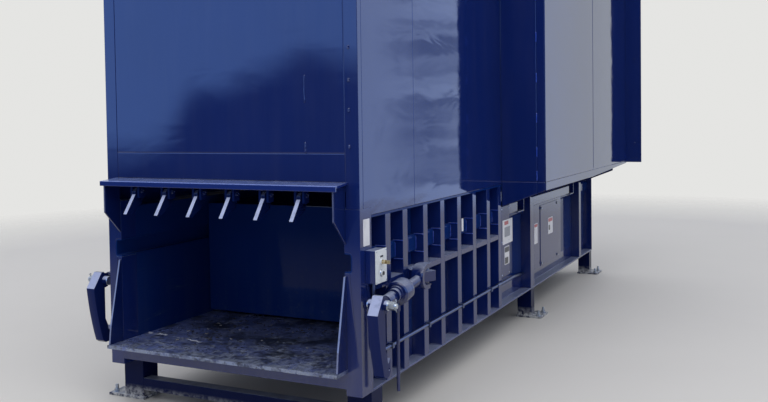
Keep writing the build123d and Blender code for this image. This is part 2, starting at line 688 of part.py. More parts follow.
def ram():
    """The packing ram: pushing face, cover shell, guide shoes and wear bars."""
    face_front = RAM_FACE_PLACE
    face_back = face_front + RAM_FACE_PLATE
    ram_back = face_front + RAM_LENGTH
    half = RAM_HALF_WIDTH
    face = block((-half, half), (face_front, face_back), (RAM_BOTTOM, RAM_TOP))
    save("ram_face", face)

    top = block((-half, half), (face_back, ram_back), (RAM_TOP - RAM_PLATE, RAM_TOP))
    side = block((half - RAM_PLATE, half), (face_back, ram_back), (RAM_BOTTOM, RAM_TOP - RAM_PLATE))
    save("ram_shell", top, *both_sides(side))

    shoes = []
    shoe_x = (half, GUIDE_BACK - SHOE_GAP)
    shoe_z = (GUIDE_LOW + SHOE_GAP, GUIDE_HIGH - SHOE_GAP)
    for start in (face_back + SHOE_INSET, ram_back - SHOE_INSET - SHOE_LENGTH):
        shoe = block(shoe_x, (start, start + SHOE_LENGTH), shoe_z)
        outer_edges = shoe.edges().filter_by(Axis.Y).group_by(Axis.X)[-1]
        shoes += both_sides(chamfer(outer_edges, SHOE_CHAMFER))
    bar_x = (half - WEAR_BAR_WIDTH, half)
    bar_run = (face_front + WEAR_BAR_INSET, ram_back)
    bars = both_sides(block(bar_x, bar_run, (FLOOR_TOP + WEAR_GAP, RAM_BOTTOM)))
    save("ram_shoes", *shoes, *bars)


def cylinder():
    """Hydraulic cylinder behind the ram, its rod, its anchor plate and its pin."""
    z = CYLINDER_HEIGHT
    barrel = rod_y(0, CYLINDER_FRONT, CYLINDER_BACK, z, CYLINDER_RADIUS)
    bore = rod_y(0, CYLINDER_FRONT + GLAND_LENGTH, CYLINDER_BACK - CAP_LENGTH, z, CYLINDER_BORE)
    gland = rod_y(0, CYLINDER_FRONT - 1, CYLINDER_FRONT + GLAND_LENGTH + 1, z, ROD_RADIUS + ROD_RUN_CLEARANCE)
    eye = rod_x(-CLEVIS_EYE_HALF, CLEVIS_EYE_HALF, CLEVIS_PIN_PLACE, z, CLEVIS_EYE_RADIUS)
    neck = block((-CLEVIS_EYE_HALF, CLEVIS_EYE_HALF), (CYLINDER_BACK - CAP_LENGTH / 2, CLEVIS_PIN_PLACE),
                 (z - CLEVIS_EYE_RADIUS, z + CLEVIS_EYE_RADIUS))
    lug_inside = CLEVIS_EYE_HALF + CLEVIS_SIDE_GAP
    lug_outside = lug_inside + CLEVIS_LUG_PLATE
    pin_reach = lug_outside + CLEVIS_PIN_END
    pin = rod_x(-pin_reach, pin_reach, CLEVIS_PIN_PLACE, z, CLEVIS_PIN_RADIUS)
    hole = rod_x(-pin_reach, pin_reach, CLEVIS_PIN_PLACE, z, CLEVIS_PIN_RADIUS + PIN_CLEARANCE)
    save("cylinder_barrel", barrel + eye + neck - bore - gland - hole)

    plate_front = MACHINE_LENGTH - END_PLATE
    plate = block((-HALF_MOUTH, HALF_MOUTH), (plate_front, MACHINE_LENGTH), (FLOOR_TOP, FRAME_TOP))
    lug_front = CYLINDER_BACK + CLEVIS_LUG_GAP
    lug = block((lug_inside, lug_outside), (lug_front, plate_front),
                (z - CLEVIS_EYE_RADIUS, z + CLEVIS_EYE_RADIUS))
    save("cylinder_anchor", plate + lug + mirrored(lug) - hole, pin)

    rod_front = RAM_FACE_PLACE + RAM_FACE_PLATE
    rod_back = rod_front + ROD_LENGTH
    rod = rod_y(0, rod_front, rod_back, z, ROD_RADIUS)
    flange = rod_y(0, rod_front, rod_front + ROD_FLANGE_LENGTH, z, ROD_FLANGE_RADIUS)
    piston = rod_y(0, rod_back - PISTON_LENGTH, rod_back, z, CYLINDER_BORE - ROD_RUN_CLEARANCE)
    save("cylinder_rod", rod + flange + piston)


def power_unit():
    """Oil tank with its lid, motor with its pump, and the two pressure lines to the cylinder."""
    width, length, height = TANK_SIZE
    x = TANK_X
    place = MACHINE_LENGTH - TANK_SETBACK
    tank_top = FLOOR_TOP + height
    lid_low = tank_top - TANK_PLATE
    tank_x = (x - width / 2, x + width / 2)
    tank_span = (place - length / 2, place + length / 2)
    tank = block(tank_x, tank_span, (FLOOR_TOP, lid_low))
    hollow = block((tank_x[0] + TANK_PLATE, tank_x[1] - TANK_PLATE),
                   (tank_span[0] + TANK_PLATE, tank_span[1] - TANK_PLATE), (FLOOR_TOP + TANK_PLATE, tank_top))
    save("oil_tank", tank - hollow, block(tank_x, tank_span, (lid_low, tank_top)))

    axis = tank_top + MOTOR_FOOT + MOTOR_RADIUS
    motor_front = place - MOTOR_LENGTH / 2
    motor_back = place + MOTOR_LENGTH / 2
    foot_span = (motor_front + MOTOR_FOOT_INSET, motor_back - MOTOR_FOOT_INSET)
    foot = block((x - MOTOR_RADIUS, x + MOTOR_RADIUS), foot_span, (tank_top, axis - MOTOR_FOOT_DROP))
    motor = rod_y(x, motor_front, motor_back, axis, MOTOR_RADIUS) + foot
    pump = rod_y(x, motor_front - PUMP_LENGTH, motor_front, axis, PUMP_RADIUS)
    save("pump_and_motor", motor, pump)

    lines = []
    pump_x = x - PUMP_RADIUS
    port_top = CYLINDER_HEIGHT + CYLINDER_RADIUS
    run_height = port_top + LINE_RISE
    front_port = CYLINDER_FRONT + GLAND_LENGTH + FRONT_PORT_SETBACK
    ports = (front_port, CYLINDER_BACK - CAP_LENGTH - BACK_PORT_SETBACK)
    for index, port in enumerate(ports):
        side_x = CYLINDER_RADIUS + LINE_OFFSET + index * LINE_SPACING
        pump_place = motor_front - PUMP_LENGTH / 2 + (index - 0.5) * PUMP_PORT_SPACING
        corners = [
            (0, port, port_top), (0, port, run_height), (side_x, port, run_height),
            (side_x, pump_place, run_height), (side_x, pump_place, axis), (pump_x, pump_place, axis),
        ]
        points = [(px, y_of(py), pz) for px, py, pz in corners]
        bend = min(LINE_BEND, abs(run_height - axis) / 2.2)
        path = FilletPolyline(*points, radius=bend)
        section = Plane(origin=path @ 0, z_dir=path % 0) * Circle(LINE_RADIUS)
        lines.append(sweep(section, path=path))
    save("pressure_lines", *lines)


def hopper_hood():
    """Corner strips, front panels and side panels of the hood over the charge box."""
    inner = SIDE_X - HOOD_PLATE
    strip_x = SIDE_X - CORNER_FRONT
    corner = flat_plate([
        (strip_x, 0), (SIDE_X, 0), (SIDE_X, CORNER_SIDE), (inner, CORNER_SIDE), (inner, HOOD_PLATE),
        (strip_x, HOOD_PLATE),
    ], POST_TOP, HOOD_WALL_TOP)
    save("hopper_corner_strips", *both_sides(corner))

    lower = block((-strip_x, strip_x), (0, HOOD_PLATE), (LIP_BACK_TOP, FRONT_SEAM))
    upper = block((-strip_x, strip_x), (0, HOOD_PLATE), (FRONT_SEAM, HOOD_WALL_TOP))
    save("hopper_front_panels", seam_edges(lower, Axis.Y, 0), seam_edges(upper, Axis.Y, 0))

    front = block((inner, SIDE_X), (CORNER_SIDE, SIDE_SEAM), (FRAME_TOP, HOOD_WALL_TOP))
    front_foot = block((inner - 1, SIDE_X + 1), (0, POST_DEPTH), (0, POST_TOP))
    back = block((inner, SIDE_X), (SIDE_SEAM, HOPPER_BACK), (FRAME_TOP, HOOD_WALL_TOP))
    pieces = [seam_edges(front, Axis.X, -1) - front_foot, seam_edges(back, Axis.X, -1)]
    save("hopper_side_panels", *both_sides(*pieces))


def seam_edges(panel, axis, which):
    """Chamfer the outside edges of a panel so that a V groove shows at each seam."""
    face = panel.faces().sort_by(axis)[which]
    return chamfer(face.edges(), SEAM_CHAMFER)


def walkway_hood():
    """Side panels, step panels, deck, edge beams and knees of the wide hood at the wall."""
    inner = WALKWAY_HALF_WIDTH - HOOD_PLATE
    back = WALL_DISTANCE - WALL_FLANGE_PLATE
    across, heights = (inner, WALKWAY_HALF_WIDTH), (EDGE_BEAM_HIGH, HOOD_WALL_TOP)
    front_side = block(across, (HOPPER_BACK, WALKWAY_SEAM), heights)
    back_side = block(across, (WALKWAY_SEAM, back), heights)
    sides = [seam_edges(front_side, Axis.X, -1), seam_edges(back_side, Axis.X, -1)]
    save("walkway_side_panels", *both_sides(*sides))

    slope = (EDGE_BEAM_LOW - STEP_INNER_LOW) / (WALKWAY_HALF_WIDTH - SIDE_X)
    seam = WALKWAY_HALF_WIDTH - STEP_SEAM_INSET
    seam_low = STEP_INNER_LOW + slope * (seam - SIDE_X)
    inner_low = STEP_INNER_LOW + slope * (inner - SIDE_X)
    step_back = HOPPER_BACK + HOOD_PLATE
    steps = []
    for near, near_low, far, far_low in ((SIDE_X, STEP_INNER_LOW, seam, seam_low),
                                         (seam, seam_low, inner, inner_low)):
        skirt = cross_plate([
            (near, near_low), (far, far_low), (far, EDGE_BEAM_HIGH), (near, EDGE_BEAM_HIGH),
        ], HOPPER_BACK, step_back)
        sheet = block((near, far), (HOPPER_BACK, step_back), (EDGE_BEAM_HIGH, HOOD_WALL_TOP))
        steps += [seam_edges(skirt, Axis.Y, 0), seam_edges(sheet, Axis.Y, 0)]
    save("step_panels", *both_sides(*steps))

    beam_inner = WALKWAY_HALF_WIDTH - EDGE_BEAM_PLATE
    deck = block((-beam_inner, beam_inner), (step_back, back), (FRAME_TOP, FRAME_TOP + DECK_PLATE))
    save("walkway_deck", deck)
    beam = side_plate([
        (step_back, EDGE_BEAM_LOW), (WALKWAY_SEAM, EDGE_BEAM_LOW), (back, EDGE_BEAM_LOW_AT_WALL),
        (back, EDGE_BEAM_HIGH), (step_back, EDGE_BEAM_HIGH),
    ], beam_inner, WALKWAY_HALF_WIDTH)

    knees = []
    for front, post_back in REAR_POSTS:
        middle = (front + post_back) / 2
        knees.append(cross_plate([
            (SIDE_X, STEP_INNER_LOW), (beam_inner, EDGE_BEAM_LOW),
            (beam_inner, FRAME_TOP), (SIDE_X, FRAME_TOP),
        ], middle - KNEE_PLATE / 2, middle + KNEE_PLATE / 2))
    save("deck_frame", *both_sides(beam, *knees))


def roofs():
    """Flat roof sheets of the two hoods."""
    hopper = block((-SIDE_X, SIDE_X), (0, HOPPER_BACK), (HOOD_WALL_TOP, ROOF_TOP))
    depth = (HOPPER_BACK, WALL_DISTANCE - WALL_FLANGE_PLATE)
    walkway = block((-WALKWAY_HALF_WIDTH, WALKWAY_HALF_WIDTH), depth, (HOOD_WALL_TOP, ROOF_TOP))
    save("hood_roofs", hopper, walkway)


def wall_flange():
    """The flange frame that bolts the walkway hood to the wall around the opening."""
    front = WALL_DISTANCE - WALL_FLANGE_PLATE
    outer = WALKWAY_HALF_WIDTH + WALL_FLANGE_WIDTH
    inner = WALKWAY_HALF_WIDTH - HOOD_PLATE
    side = block((inner, outer), (front, WALL_DISTANCE), (WALL_FLANGE_LOW, HOOD_WALL_TOP))
    bolt_x = WALKWAY_HALF_WIDTH + WALL_BOLT_REACH
    for height in WALL_BOLT_HEIGHTS:
        side -= rod_y(bolt_x, front - 1, WALL_DISTANCE + 1, height, WALL_BOLT_RADIUS)
    top = block((-outer, outer), (front, WALL_DISTANCE), (HOOD_WALL_TOP, ROOF_TOP + WALL_FLANGE_WIDTH))
    save("wall_flange", *both_sides(side), top)


def legs():
    """Six tube legs on foot plates, the anchors in their outer holes and the front tie."""
    pieces = []
    anchors = []
    stands = (
        (FRONT_LEG, FRONT_LEG_PLACE, FRONT_FOOT_REACH),
        (REAR_LEG, MIDDLE_POST_FRONT + MIDDLE_LEG_INSET, REAR_FOOT_REACH),
        (REAR_LEG, MACHINE_LENGTH - END_LEG_SETBACK, REAR_FOOT_REACH),
    )
    for (width, depth), front, foot_reach in stands:
        x_low = SIDE_X - width
        back = front + depth
        tube = block((x_low, SIDE_X), (front, back), (FOOT_PLATE, FRAME_BOTTOM))
        hollow = block((x_low + LEG_WALL, SIDE_X - LEG_WALL), (front + LEG_WALL, back - LEG_WALL),
                       (FOOT_PLATE, FRAME_BOTTOM))
        foot_x = (x_low - FOOT_INSET, SIDE_X + foot_reach)
        foot_span = (front - FOOT_INSET, front - FOOT_INSET + FOOT_LENGTH)
        foot = block(foot_x, foot_span, (0, FOOT_PLATE))
        for number in range(2):
            x = foot_x[0] + SPARE_HOLE_EDGE + number * SPARE_HOLE_PITCH
            foot -= rod_z(x, foot_span[1] - ANCHOR_EDGE, -1, FOOT_PLATE + 1, ANCHOR_HOLE_RADIUS)
        for place in (foot_span[0] + ANCHOR_EDGE, foot_span[1] - ANCHOR_EDGE):
            x = foot_x[1] - ANCHOR_EDGE
            foot -= rod_z(x, place, -1, FOOT_PLATE + 1, ANCHOR_HOLE_RADIUS)
            stud = rod_z(x, place, 0, ANCHOR_TOP, ANCHOR_RADIUS)
            washer_top = FOOT_PLATE + ANCHOR_WASHER
            washer = rod_z(x, place, FOOT_PLATE, washer_top, ANCHOR_WASHER_RADIUS)
            nut = Pos(x, y_of(place), washer_top) * hexagon(ANCHOR_NUT, ANCHOR_NUT_HEIGHT)
            anchors.append(stud + washer + nut)
        pieces.append((tube - hollow) + foot)
    save("anchor_bolts", *both_sides(*anchors))

    tie_half = SIDE_X - FRONT_LEG[0]
    front = FRONT_LEG_PLACE
    tie = block((-tie_half, tie_half), (front, front + TIE_SIZE), (TIE_BOTTOM, TIE_BOTTOM + TIE_SIZE))
    hollow = block((-tie_half - 1, tie_half + 1), (front + TIE_WALL, front + TIE_SIZE - TIE_WALL),
                   (TIE_BOTTOM + TIE_WALL, TIE_BOTTOM + TIE_SIZE - TIE_WALL))
    save("legs", *both_sides(*pieces), tie - hollow)


def binder_axis():
    """Length and slope of a binder between its claw pin and its swing pin."""
    run = BINDER_PIVOT[0] - BINDER_PIN[0]
    rise = BINDER_PIVOT[1] - BINDER_PIN[1]
    return (run ** 2 + rise ** 2) ** 0.5, atan2(rise, run)


def along_binder(distance):
    """Place and height of a point on the binder axis, at a distance from the claw pin."""
    _, slope = binder_axis()
    return BINDER_PIN[0] + distance * cos(slope), BINDER_PIN[1] + distance * sin(slope)


def binder_rod(start, end, radius):
    """A round bar on the right binder's axis between two distances from the claw pin."""
    _, slope = binder_axis()
    place, height = along_binder((start + end) / 2)
    bar = Cylinder(radius, end - start, rotation=(90, 0, 0))
    return Pos(BINDER_X, y_of(place), height) * Rot(degrees(slope), 0, 0) * bar


def binder_bracket():
    """Slanting arm on a small base plate, with a boss for the vertical swing pin."""
    place, height = BINDER_PIVOT
    turn = radians(BRACKET_TURN)
    reach = BINDER_X - SIDE_X
    back = (reach + BRACKET_ARM_WIDTH * sin(turn)) / cos(turn)
    arm = Box(back + BRACKET_ARM_END, BRACKET_ARM_WIDTH, BRACKET_ARM_HEIGHT)
    arm = Rot(0, 0, -BRACKET_TURN) * Pos((BRACKET_ARM_END - back) / 2, 0, 0) * arm
    arm = Pos(BINDER_X, y_of(place), height) * arm
    inside = block((SIDE_X - 2 * reach, SIDE_X), (place - 2 * back, place + 2 * back),
                   (height - BRACKET_ARM_HEIGHT, height + BRACKET_ARM_HEIGHT))

    base_length, base_height = BRACKET_BASE
    base_place = place + reach * tan(turn)
    base = block((SIDE_X, SIDE_X + BRACKET_BASE_PLATE),
                 (base_place - base_length / 2, base_place + base_length / 2),
                 (height - base_height / 2, height + base_height / 2))

    boss_half = YOKE_THROAT_HALF - YOKE_GAP
    boss = rod_z(BINDER_X, place, height - boss_half, height + boss_half, BRACKET_BOSS_RADIUS)
    bore_radius = SWING_PIN_RADIUS + PIN_CLEARANCE
    bore = rod_z(BINDER_X, place, height - boss_half - 1, height + boss_half + 1, bore_radius)
    return (arm - inside) + base + boss - bore


def binder_yoke():
    """Forged yoke that reaches round the bracket's arm, with its swing pin and the rear stub."""
    _, slope = binder_axis()
    place, height = BINDER_PIVOT
    x_low, x_high = BINDER_X - YOKE_HALF_WIDTH, BINDER_X + YOKE_HALF_WIDTH
    throat_place = place - YOKE_THROAT_REACH + YOKE_THROAT_HALF
    outer_half = YOKE_THROAT_HALF + YOKE_PLATE
    outer_z = (height - outer_half, height + outer_half)
    body = rod_x(x_low, x_high, throat_place, height, outer_half)
    arms = block((x_low, x_high), (throat_place, place), outer_z)
    ends = rod_z(BINDER_X, place, *outer_z, YOKE_HALF_WIDTH)

    throat = rod_x(x_low - 1, x_high + 1, throat_place, height, YOKE_THROAT_HALF)
    gap = block((x_low - 1, x_high + 1), (throat_place, place + 2 * YOKE_HALF_WIDTH),
                (height - YOKE_THROAT_HALF, height + YOKE_THROAT_HALF))
    pin = rod_z(BINDER_X, place, *outer_z, SWING_PIN_RADIUS)
    stub_end = place - YOKE_THROAT_REACH - YOKE_PLATE / 4
    stub = binder_rod(BARREL_BACK + STUB_GAP, (stub_end - BINDER_PIN[0]) / cos(slope), STUB_RADIUS)
    return (body + arms + ends - throat - gap) + pin + stub


def binder_barrel():
    """Ratchet barrel with a collar on each side of the lever's ring, bored for the screw."""
    body = binder_rod(BARREL_FRONT, BARREL_BACK, BARREL_RADIUS)
    front = LEVER_RING_FRONT - COLLAR_GAP
    back = LEVER_RING_BACK + COLLAR_GAP
    front_collar = binder_rod(front - COLLAR_LENGTH, front, COLLAR_RADIUS)
    back_collar = binder_rod(back, back + COLLAR_LENGTH, COLLAR_RADIUS)
    bore = binder_rod(BARREL_FRONT - 1, SCREW_BACK + 2, SCREW_RADIUS + SCREW_HOLE_CLEARANCE)
    return body + front_collar + back_collar - bore


def binder_screw():
    """Draw screw with a shoulder and the flat eye that carries the claw."""
    screw = binder_rod(0, SCREW_BACK, SCREW_RADIUS)
    shoulder = binder_rod(SHOULDER_FRONT, SHOULDER_BACK, SHOULDER_RADIUS)
    place, height = BINDER_PIN
    half = EYE_THICKNESS / 2
    eye = rod_x(BINDER_X - half, BINDER_X + half, place, height, EYE_RADIUS)
    flats = []
    for side in (-1, 1):
        near, far = BINDER_X + side * half, BINDER_X + side * 2 * SCREW_RADIUS
        flats.append(block((near, far), (place - 2 * EYE_RADIUS, place + EYE_FLAT),
                           (height - 2 * EYE_RADIUS, height + 2 * EYE_RADIUS)))
    bore = rod_x(BINDER_X - EYE_RADIUS, BINDER_X + EYE_RADIUS, place, height, CLAW_PIN_RADIUS + PIN_CLEARANCE)
    return screw - flats[0] - flats[1] + shoulder + eye - bore


def binder_claw():
    """Claw hook with a slot for the screw's eye, its bosses, pin, washer and nut."""
    place, height = BINDER_PIN
    x_low, x_high = BINDER_X - CLAW_HALF_WIDTH, BINDER_X + CLAW_HALF_WIDTH

    def at(point):
        return y_of(place + point[0]), height + point[1]

    front = ThreePointArc(at(CLAW_BROW), at(CLAW_BELLY), at(CLAW_FOOT))
    back = (
        CLAW_FOOT, *CLAW_TOE, *CLAW_THROAT, (CLAW_BACK, CLAW_BACK_LOW), (CLAW_BACK, CLAW_BACK_TOP),
        (2 * CLAW_BACK, CLAW_TOP[1]), CLAW_TOP, CLAW_BROW,
    )
    outline = front + Polyline(*(at(point) for point in back))
    shank = extrude(Plane.YZ.offset(x_low) * make_face(outline), 2 * CLAW_HALF_WIDTH, dir=(1, 0, 0))
    head = rod_x(x_low, x_high, place, height, CLAW_HEAD_RADIUS)
    bosses = rod_x(x_low - CLAW_INNER_BOSS, x_high + CLAW_OUTER_BOSS, place, height, CLAW_BOSS_RADIUS)

    slot_x = (BINDER_X - EYE_THICKNESS / 2 - CLAW_SLOT_GAP, BINDER_X + EYE_THICKNESS / 2 + CLAW_SLOT_GAP)
    slot_round = rod_x(*slot_x, place, height, CLAW_HEAD_RADIUS)
    slot_back = block(slot_x, (place + CLAW_BACK, place + 2 * CLAW_HEAD_RADIUS),
                      (height - 2 * CLAW_HEAD_RADIUS, height + 2 * CLAW_HEAD_RADIUS))
    pin_x = x_low - CLAW_INNER_BOSS
    nut_x = x_high + CLAW_OUTER_BOSS + CLAW_WASHER[1]
    pin_end = nut_x + CLAW_NUT[1] + CLAW_PIN_END
    pin = rod_x(pin_x, pin_end, place, height, CLAW_PIN_RADIUS)
    toe_hole = rod_x(x_low - 1, x_high + 1, place + TOE_HOLE[0], height + TOE_HOLE[1], TOE_HOLE_RADIUS)
    claw = shank + head + bosses - slot_round - slot_back - pin - toe_hole

    pin_head = rod_x(pin_x - CLAW_PIN_HEAD, pin_x, place, height, CLAW_BOSS_RADIUS)
    washer = rod_x(x_high + CLAW_OUTER_BOSS, nut_x, place, height, CLAW_WASHER[0]) - pin
    nut = Pos(nut_x, y_of(place), height) * Rot(0, 90, 0) * hexagon(*CLAW_NUT) - pin
    return [claw, pin + pin_head, washer, nut]


def binder_lever():
    """Ratchet lever: a housing ring around the barrel and a round bar that hangs from it."""
    ring = binder_rod(LEVER_RING_FRONT, LEVER_RING_BACK, LEVER_RING_RADIUS)
    ring = chamfer(ring.edges().filter_by(GeomType.CIRCLE), LEVER_RING_CHAMFER)
    hole = binder_rod(LEVER_RING_FRONT - 1, LEVER_RING_BACK + 1, BARREL_RADIUS + PIN_CLEARANCE)
    _, slope = binder_axis()
    place, height = along_binder(LEVER_BAR_PLACE / cos(slope))
    bar_top = height - (BARREL_RADIUS + LEVER_RING_RADIUS) / 2
    bar = rod_z(BINDER_X, place, LEVER_BOTTOM, bar_top, LEVER_BAR_RADIUS)
    socket = rod_z(BINDER_X, place, LEVER_SOCKET_LOW, bar_top, LEVER_SOCKET_RADIUS)
    return ring - hole + bar + socket


def binders():
    """Both ratchet binders, one node for each piece that moves by itself."""
    save("binder_brackets", *both_sides(binder_bracket()))
    pieces = {
        "binder_yoke": [binder_yoke()], "binder_barrel": [binder_barrel()], "binder_screw": [binder_screw()],
        "binder_claw": binder_claw(), "binder_lever": [binder_lever()],
    }
    for name, solids in pieces.items():
        save(f"right_{name}", *solids)
        save(f"left_{name}", *(mirrored(solid) for solid in solids))


def key_station():
    """Key switch box on the right post, with its cover, key switch and push button."""
    box_x = (SIDE_X, SIDE_X + STATION_DEPTH)
    body = block(box_x, STATION_SPAN, STATION_HEIGHT)
    wall = STATION_WALL
    hollow = block((SIDE_X + wall, SIDE_X + STATION_DEPTH + 1), (STATION_SPAN[0] + wall, STATION_SPAN[1] - wall),
                   (STATION_HEIGHT[0] + wall, STATION_HEIGHT[1] - wall))
    save("switch_box", body - hollow)

    lap = STATION_COVER_LAP
    cover_x = (box_x[1], box_x[1] + STATION_COVER)
    cover = block(cover_x, (STATION_SPAN[0] - lap, STATION_SPAN[1] + lap),
                  (STATION_HEIGHT[0] - lap, STATION_HEIGHT[1] + lap))
    ring = rod_x(cover_x[1], cover_x[1] + BUTTON_RING_LENGTH, *BUTTON_PLACE, BUTTON_RING_RADIUS)
    collar_radius, collar_length = KEY_COLLAR
    collar = rod_x(cover_x[1], cover_x[1] + collar_length, *KEY_PLACE, collar_radius)
    button_hole = rod_x(cover_x[0] - 1, cover_x[1] + 20, *BUTTON_PLACE, BUTTON_RADIUS + PIN_CLEARANCE)
    key_hole = rod_x(cover_x[0] - 1, cover_x[1] + 20, *KEY_PLACE, KEY_BARREL_RADIUS + PIN_CLEARANCE)
    save("switch_cover", cover + ring + collar - button_hole - key_hole)

    barrel_end = cover_x[1] + KEY_BARREL_LENGTH
    barrel = rod_x(cover_x[0] - KEY_BARREL_INSIDE, barrel_end, *KEY_PLACE, KEY_BARREL_RADIUS)
    bow_length, bow_plate, bow_height = KEY_BOW
    key_place, key_height = KEY_PLACE
    bow = block((barrel_end, barrel_end + bow_length), (key_place - bow_plate / 2, key_place + bow_plate / 2),
                (key_height - bow_height / 2, key_height + bow_height / 2))
    save("key_switch", barrel + bow)

    button_end = cover_x[1] + BUTTON_RING_LENGTH + BUTTON_TRAVEL
    save("push_button", rod_x(cover_x[0] - BUTTON_INSIDE, button_end, *BUTTON_PLACE, BUTTON_RADIUS))


def conduit():
    """Wiring conduit from the key switch box along the ribs to the rear post."""
    x = SIDE_X + CONDUIT_GAP + CONDUIT_RADIUS
    start_place = (STATION_SPAN[0] + STATION_SPAN[1]) / 2
    end_place = MIDDLE_POST_FRONT
    corners = [
        (x, start_place, STATION_HEIGHT[0] - STATION_COVER_LAP), (x, start_place, CONDUIT_HEIGHT),
        (x, JUNCTION_BACK + CONDUIT_TURN_IN, CONDUIT_HEIGHT),
        (CONDUIT_END_X, end_place - CONDUIT_END_RUN, CONDUIT_END_HEIGHT),
        (CONDUIT_END_X, end_place, CONDUIT_END_HEIGHT),
    ]
    path = FilletPolyline(*[(px, y_of(py), pz) for px, py, pz in corners], radius=CONDUIT_BEND)
    section = Plane(origin=path @ 0, z_dir=path % 0) * Circle(CONDUIT_RADIUS)
    tube = sweep(section, path=path)
    coupling_front = RIB_PLACES[-1] - COUPLING_SETBACK
    coupling = rod_y(x, coupling_front, coupling_front + COUPLING_LENGTH, CONDUIT_HEIGHT, COUPLING_RADIUS)
    save("conduit", tube + coupling)

    clamps = []
    for place in RIB_PLACES[::CLAMP_EVERY]:
        span = (place - CLAMP_WIDTH / 2, place + CLAMP_WIDTH / 2)
        reach = CONDUIT_RADIUS + CLAMP_WALL
        strap = block((SIDE_X, x + reach), span, (CONDUIT_HEIGHT - reach, CONDUIT_HEIGHT + reach))
        strap -= rod_y(x, span[0] - 1, span[1] + 1, CONDUIT_HEIGHT, CONDUIT_RADIUS)
        clamps.append(strap)
    save("conduit_clamps", *clamps)


front_frame()
side_walls()
guide_channels()
side_sills()
side_ribs()
rear_side_frame()
access_panel()
junction_box()
floor()
snout()
retaining_teeth()
ram()
cylinder()
power_unit()
hopper_hood()
walkway_hood()
roofs()
wall_flange()
legs()
binders()
key_station()
conduit()
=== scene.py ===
"""Finishes, labels, weld beads and small fittings of a stationary waste compactor, and its stage."""
import random
from math import pi, radians

import bmesh
import bpy
from bpy.props import FloatProperty, FloatVectorProperty, IntProperty, PointerProperty
from bpy.types import Operator, Panel, PropertyGroup
from mathutils import Matrix, Vector


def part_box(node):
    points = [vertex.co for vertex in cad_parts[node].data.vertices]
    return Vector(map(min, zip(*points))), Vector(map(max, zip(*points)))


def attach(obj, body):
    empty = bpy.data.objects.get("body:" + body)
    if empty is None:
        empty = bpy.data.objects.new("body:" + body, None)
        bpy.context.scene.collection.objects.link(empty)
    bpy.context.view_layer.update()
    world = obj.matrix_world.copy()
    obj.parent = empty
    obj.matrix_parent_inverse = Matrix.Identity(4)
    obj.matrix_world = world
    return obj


bl_info = {
    "name": "Waste compactor looks",
    "version": (1, 0, 0),
    "blender": (4, 5, 0),
    "location": "3D View > Sidebar > Compactor",
    "description": "Paint, labels, weld beads and fittings of a stationary waste compactor",
    "category": "Object",
}

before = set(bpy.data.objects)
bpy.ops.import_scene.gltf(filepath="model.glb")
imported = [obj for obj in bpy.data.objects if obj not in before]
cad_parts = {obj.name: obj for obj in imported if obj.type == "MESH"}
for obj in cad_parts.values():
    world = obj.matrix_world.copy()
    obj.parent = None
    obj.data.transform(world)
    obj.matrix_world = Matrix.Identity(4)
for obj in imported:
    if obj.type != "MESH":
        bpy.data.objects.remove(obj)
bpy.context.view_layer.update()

# Places that the pieces are set against, in metres
FACE_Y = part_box("front_frame")[0].y          # front face of the mouth posts
SIDE_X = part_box("front_frame")[1].x          # outer face of the ribs and posts
STEP_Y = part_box("step_panels")[0].y
FLOOR_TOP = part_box("chamber_floor")[1].z
SNOUT_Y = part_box("chamber_floor")[0].y
COVER_LOW, COVER_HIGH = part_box("switch_cover")
COVER_FACE_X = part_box("switch_box")[1].x + 0.004               # outer face of the switch cover
FLANGE_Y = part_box("wall_flange")[0].y
RIB_PLACES = (336, 566, 864, 1140, 1438, 1736, 2033, 2294)    # millimetres behind the post front
CLAW_PIN = (28, 735)                                           # place behind the post front and height
TEETH = 6
TOOTH_PIN_Z = 1.300                                            # height of the tooth pins, in metres
TOOTH_HALF = 0.0125                                            # half the thickness of a tooth
LUG_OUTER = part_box("tooth_hangers")[1].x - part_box("tooth_6")[0].x - TOOTH_HALF
WALKWAY_SEAM = 3975                                            # millimetres behind the post front
STEP_SEAM_X = 1.132                                            # seam of each step panel
WALL_ANCHOR_X = 1.285                                          # middle of the anchor holes in the wall flange
WALL_ANCHOR_HEIGHTS = (1.4, 2.3, 3.2)
CLAW_BARE_INSIDE, CLAW_BARE_OUTSIDE = 0.8935, 1.001            # the claw's pin head and nut are bare zinc
BRIGHT_EDGE = 0.022                                            # width of the painted highlight on top of the lip
NO_LIMIT = 2.0                                                 # a height above everything, so that the pale edges are not cut off
STREAK_SLOPE, STREAK_END = -0.146, -0.24                       # slant and right end of the floor's streak
STREAK_Y = FACE_Y + 0.113                                      # where the streak would cross the middle


def back(place_mm):
    """Y of a place given in millimetres behind the front face of the mouth posts."""
    return FACE_Y + place_mm / 1000


def linear(hex_colour, alpha=1.0):
    """An sRGB hex colour as linear RGBA."""
    values = [int(hex_colour[i:i + 2], 16) / 255 for i in (1, 3, 5)]
    values = [v / 12.92 if v <= 0.04045 else ((v + 0.055) / 1.055) ** 2.4 for v in values]
    return (*values, alpha)


class CompactorPaint(PropertyGroup):
    """Colours and surface of the enamel."""
    enamel: FloatVectorProperty(
        name="Enamel", description="Cobalt blue gloss enamel", subtype="COLOR", size=4,
        default=linear("#112464"), min=0, max=1)
    ripple: FloatProperty(
        name="Sheet ripple", description="Height of the waves in the thin hood sheets", subtype="DISTANCE",
        unit="LENGTH", default=0.0018, min=0, max=0.01)
    plate_ripple: FloatProperty(
        name="Plate ripple", description="Height of the waves in the thick frame plates", subtype="DISTANCE",
        unit="LENGTH", default=0.00025, min=0, max=0.01)
    edge: FloatProperty(
        name="Edge radius", description="Rounding that the paint gives a cut edge", subtype="DISTANCE",
        unit="LENGTH", default=0.0025, min=0, max=0.01)


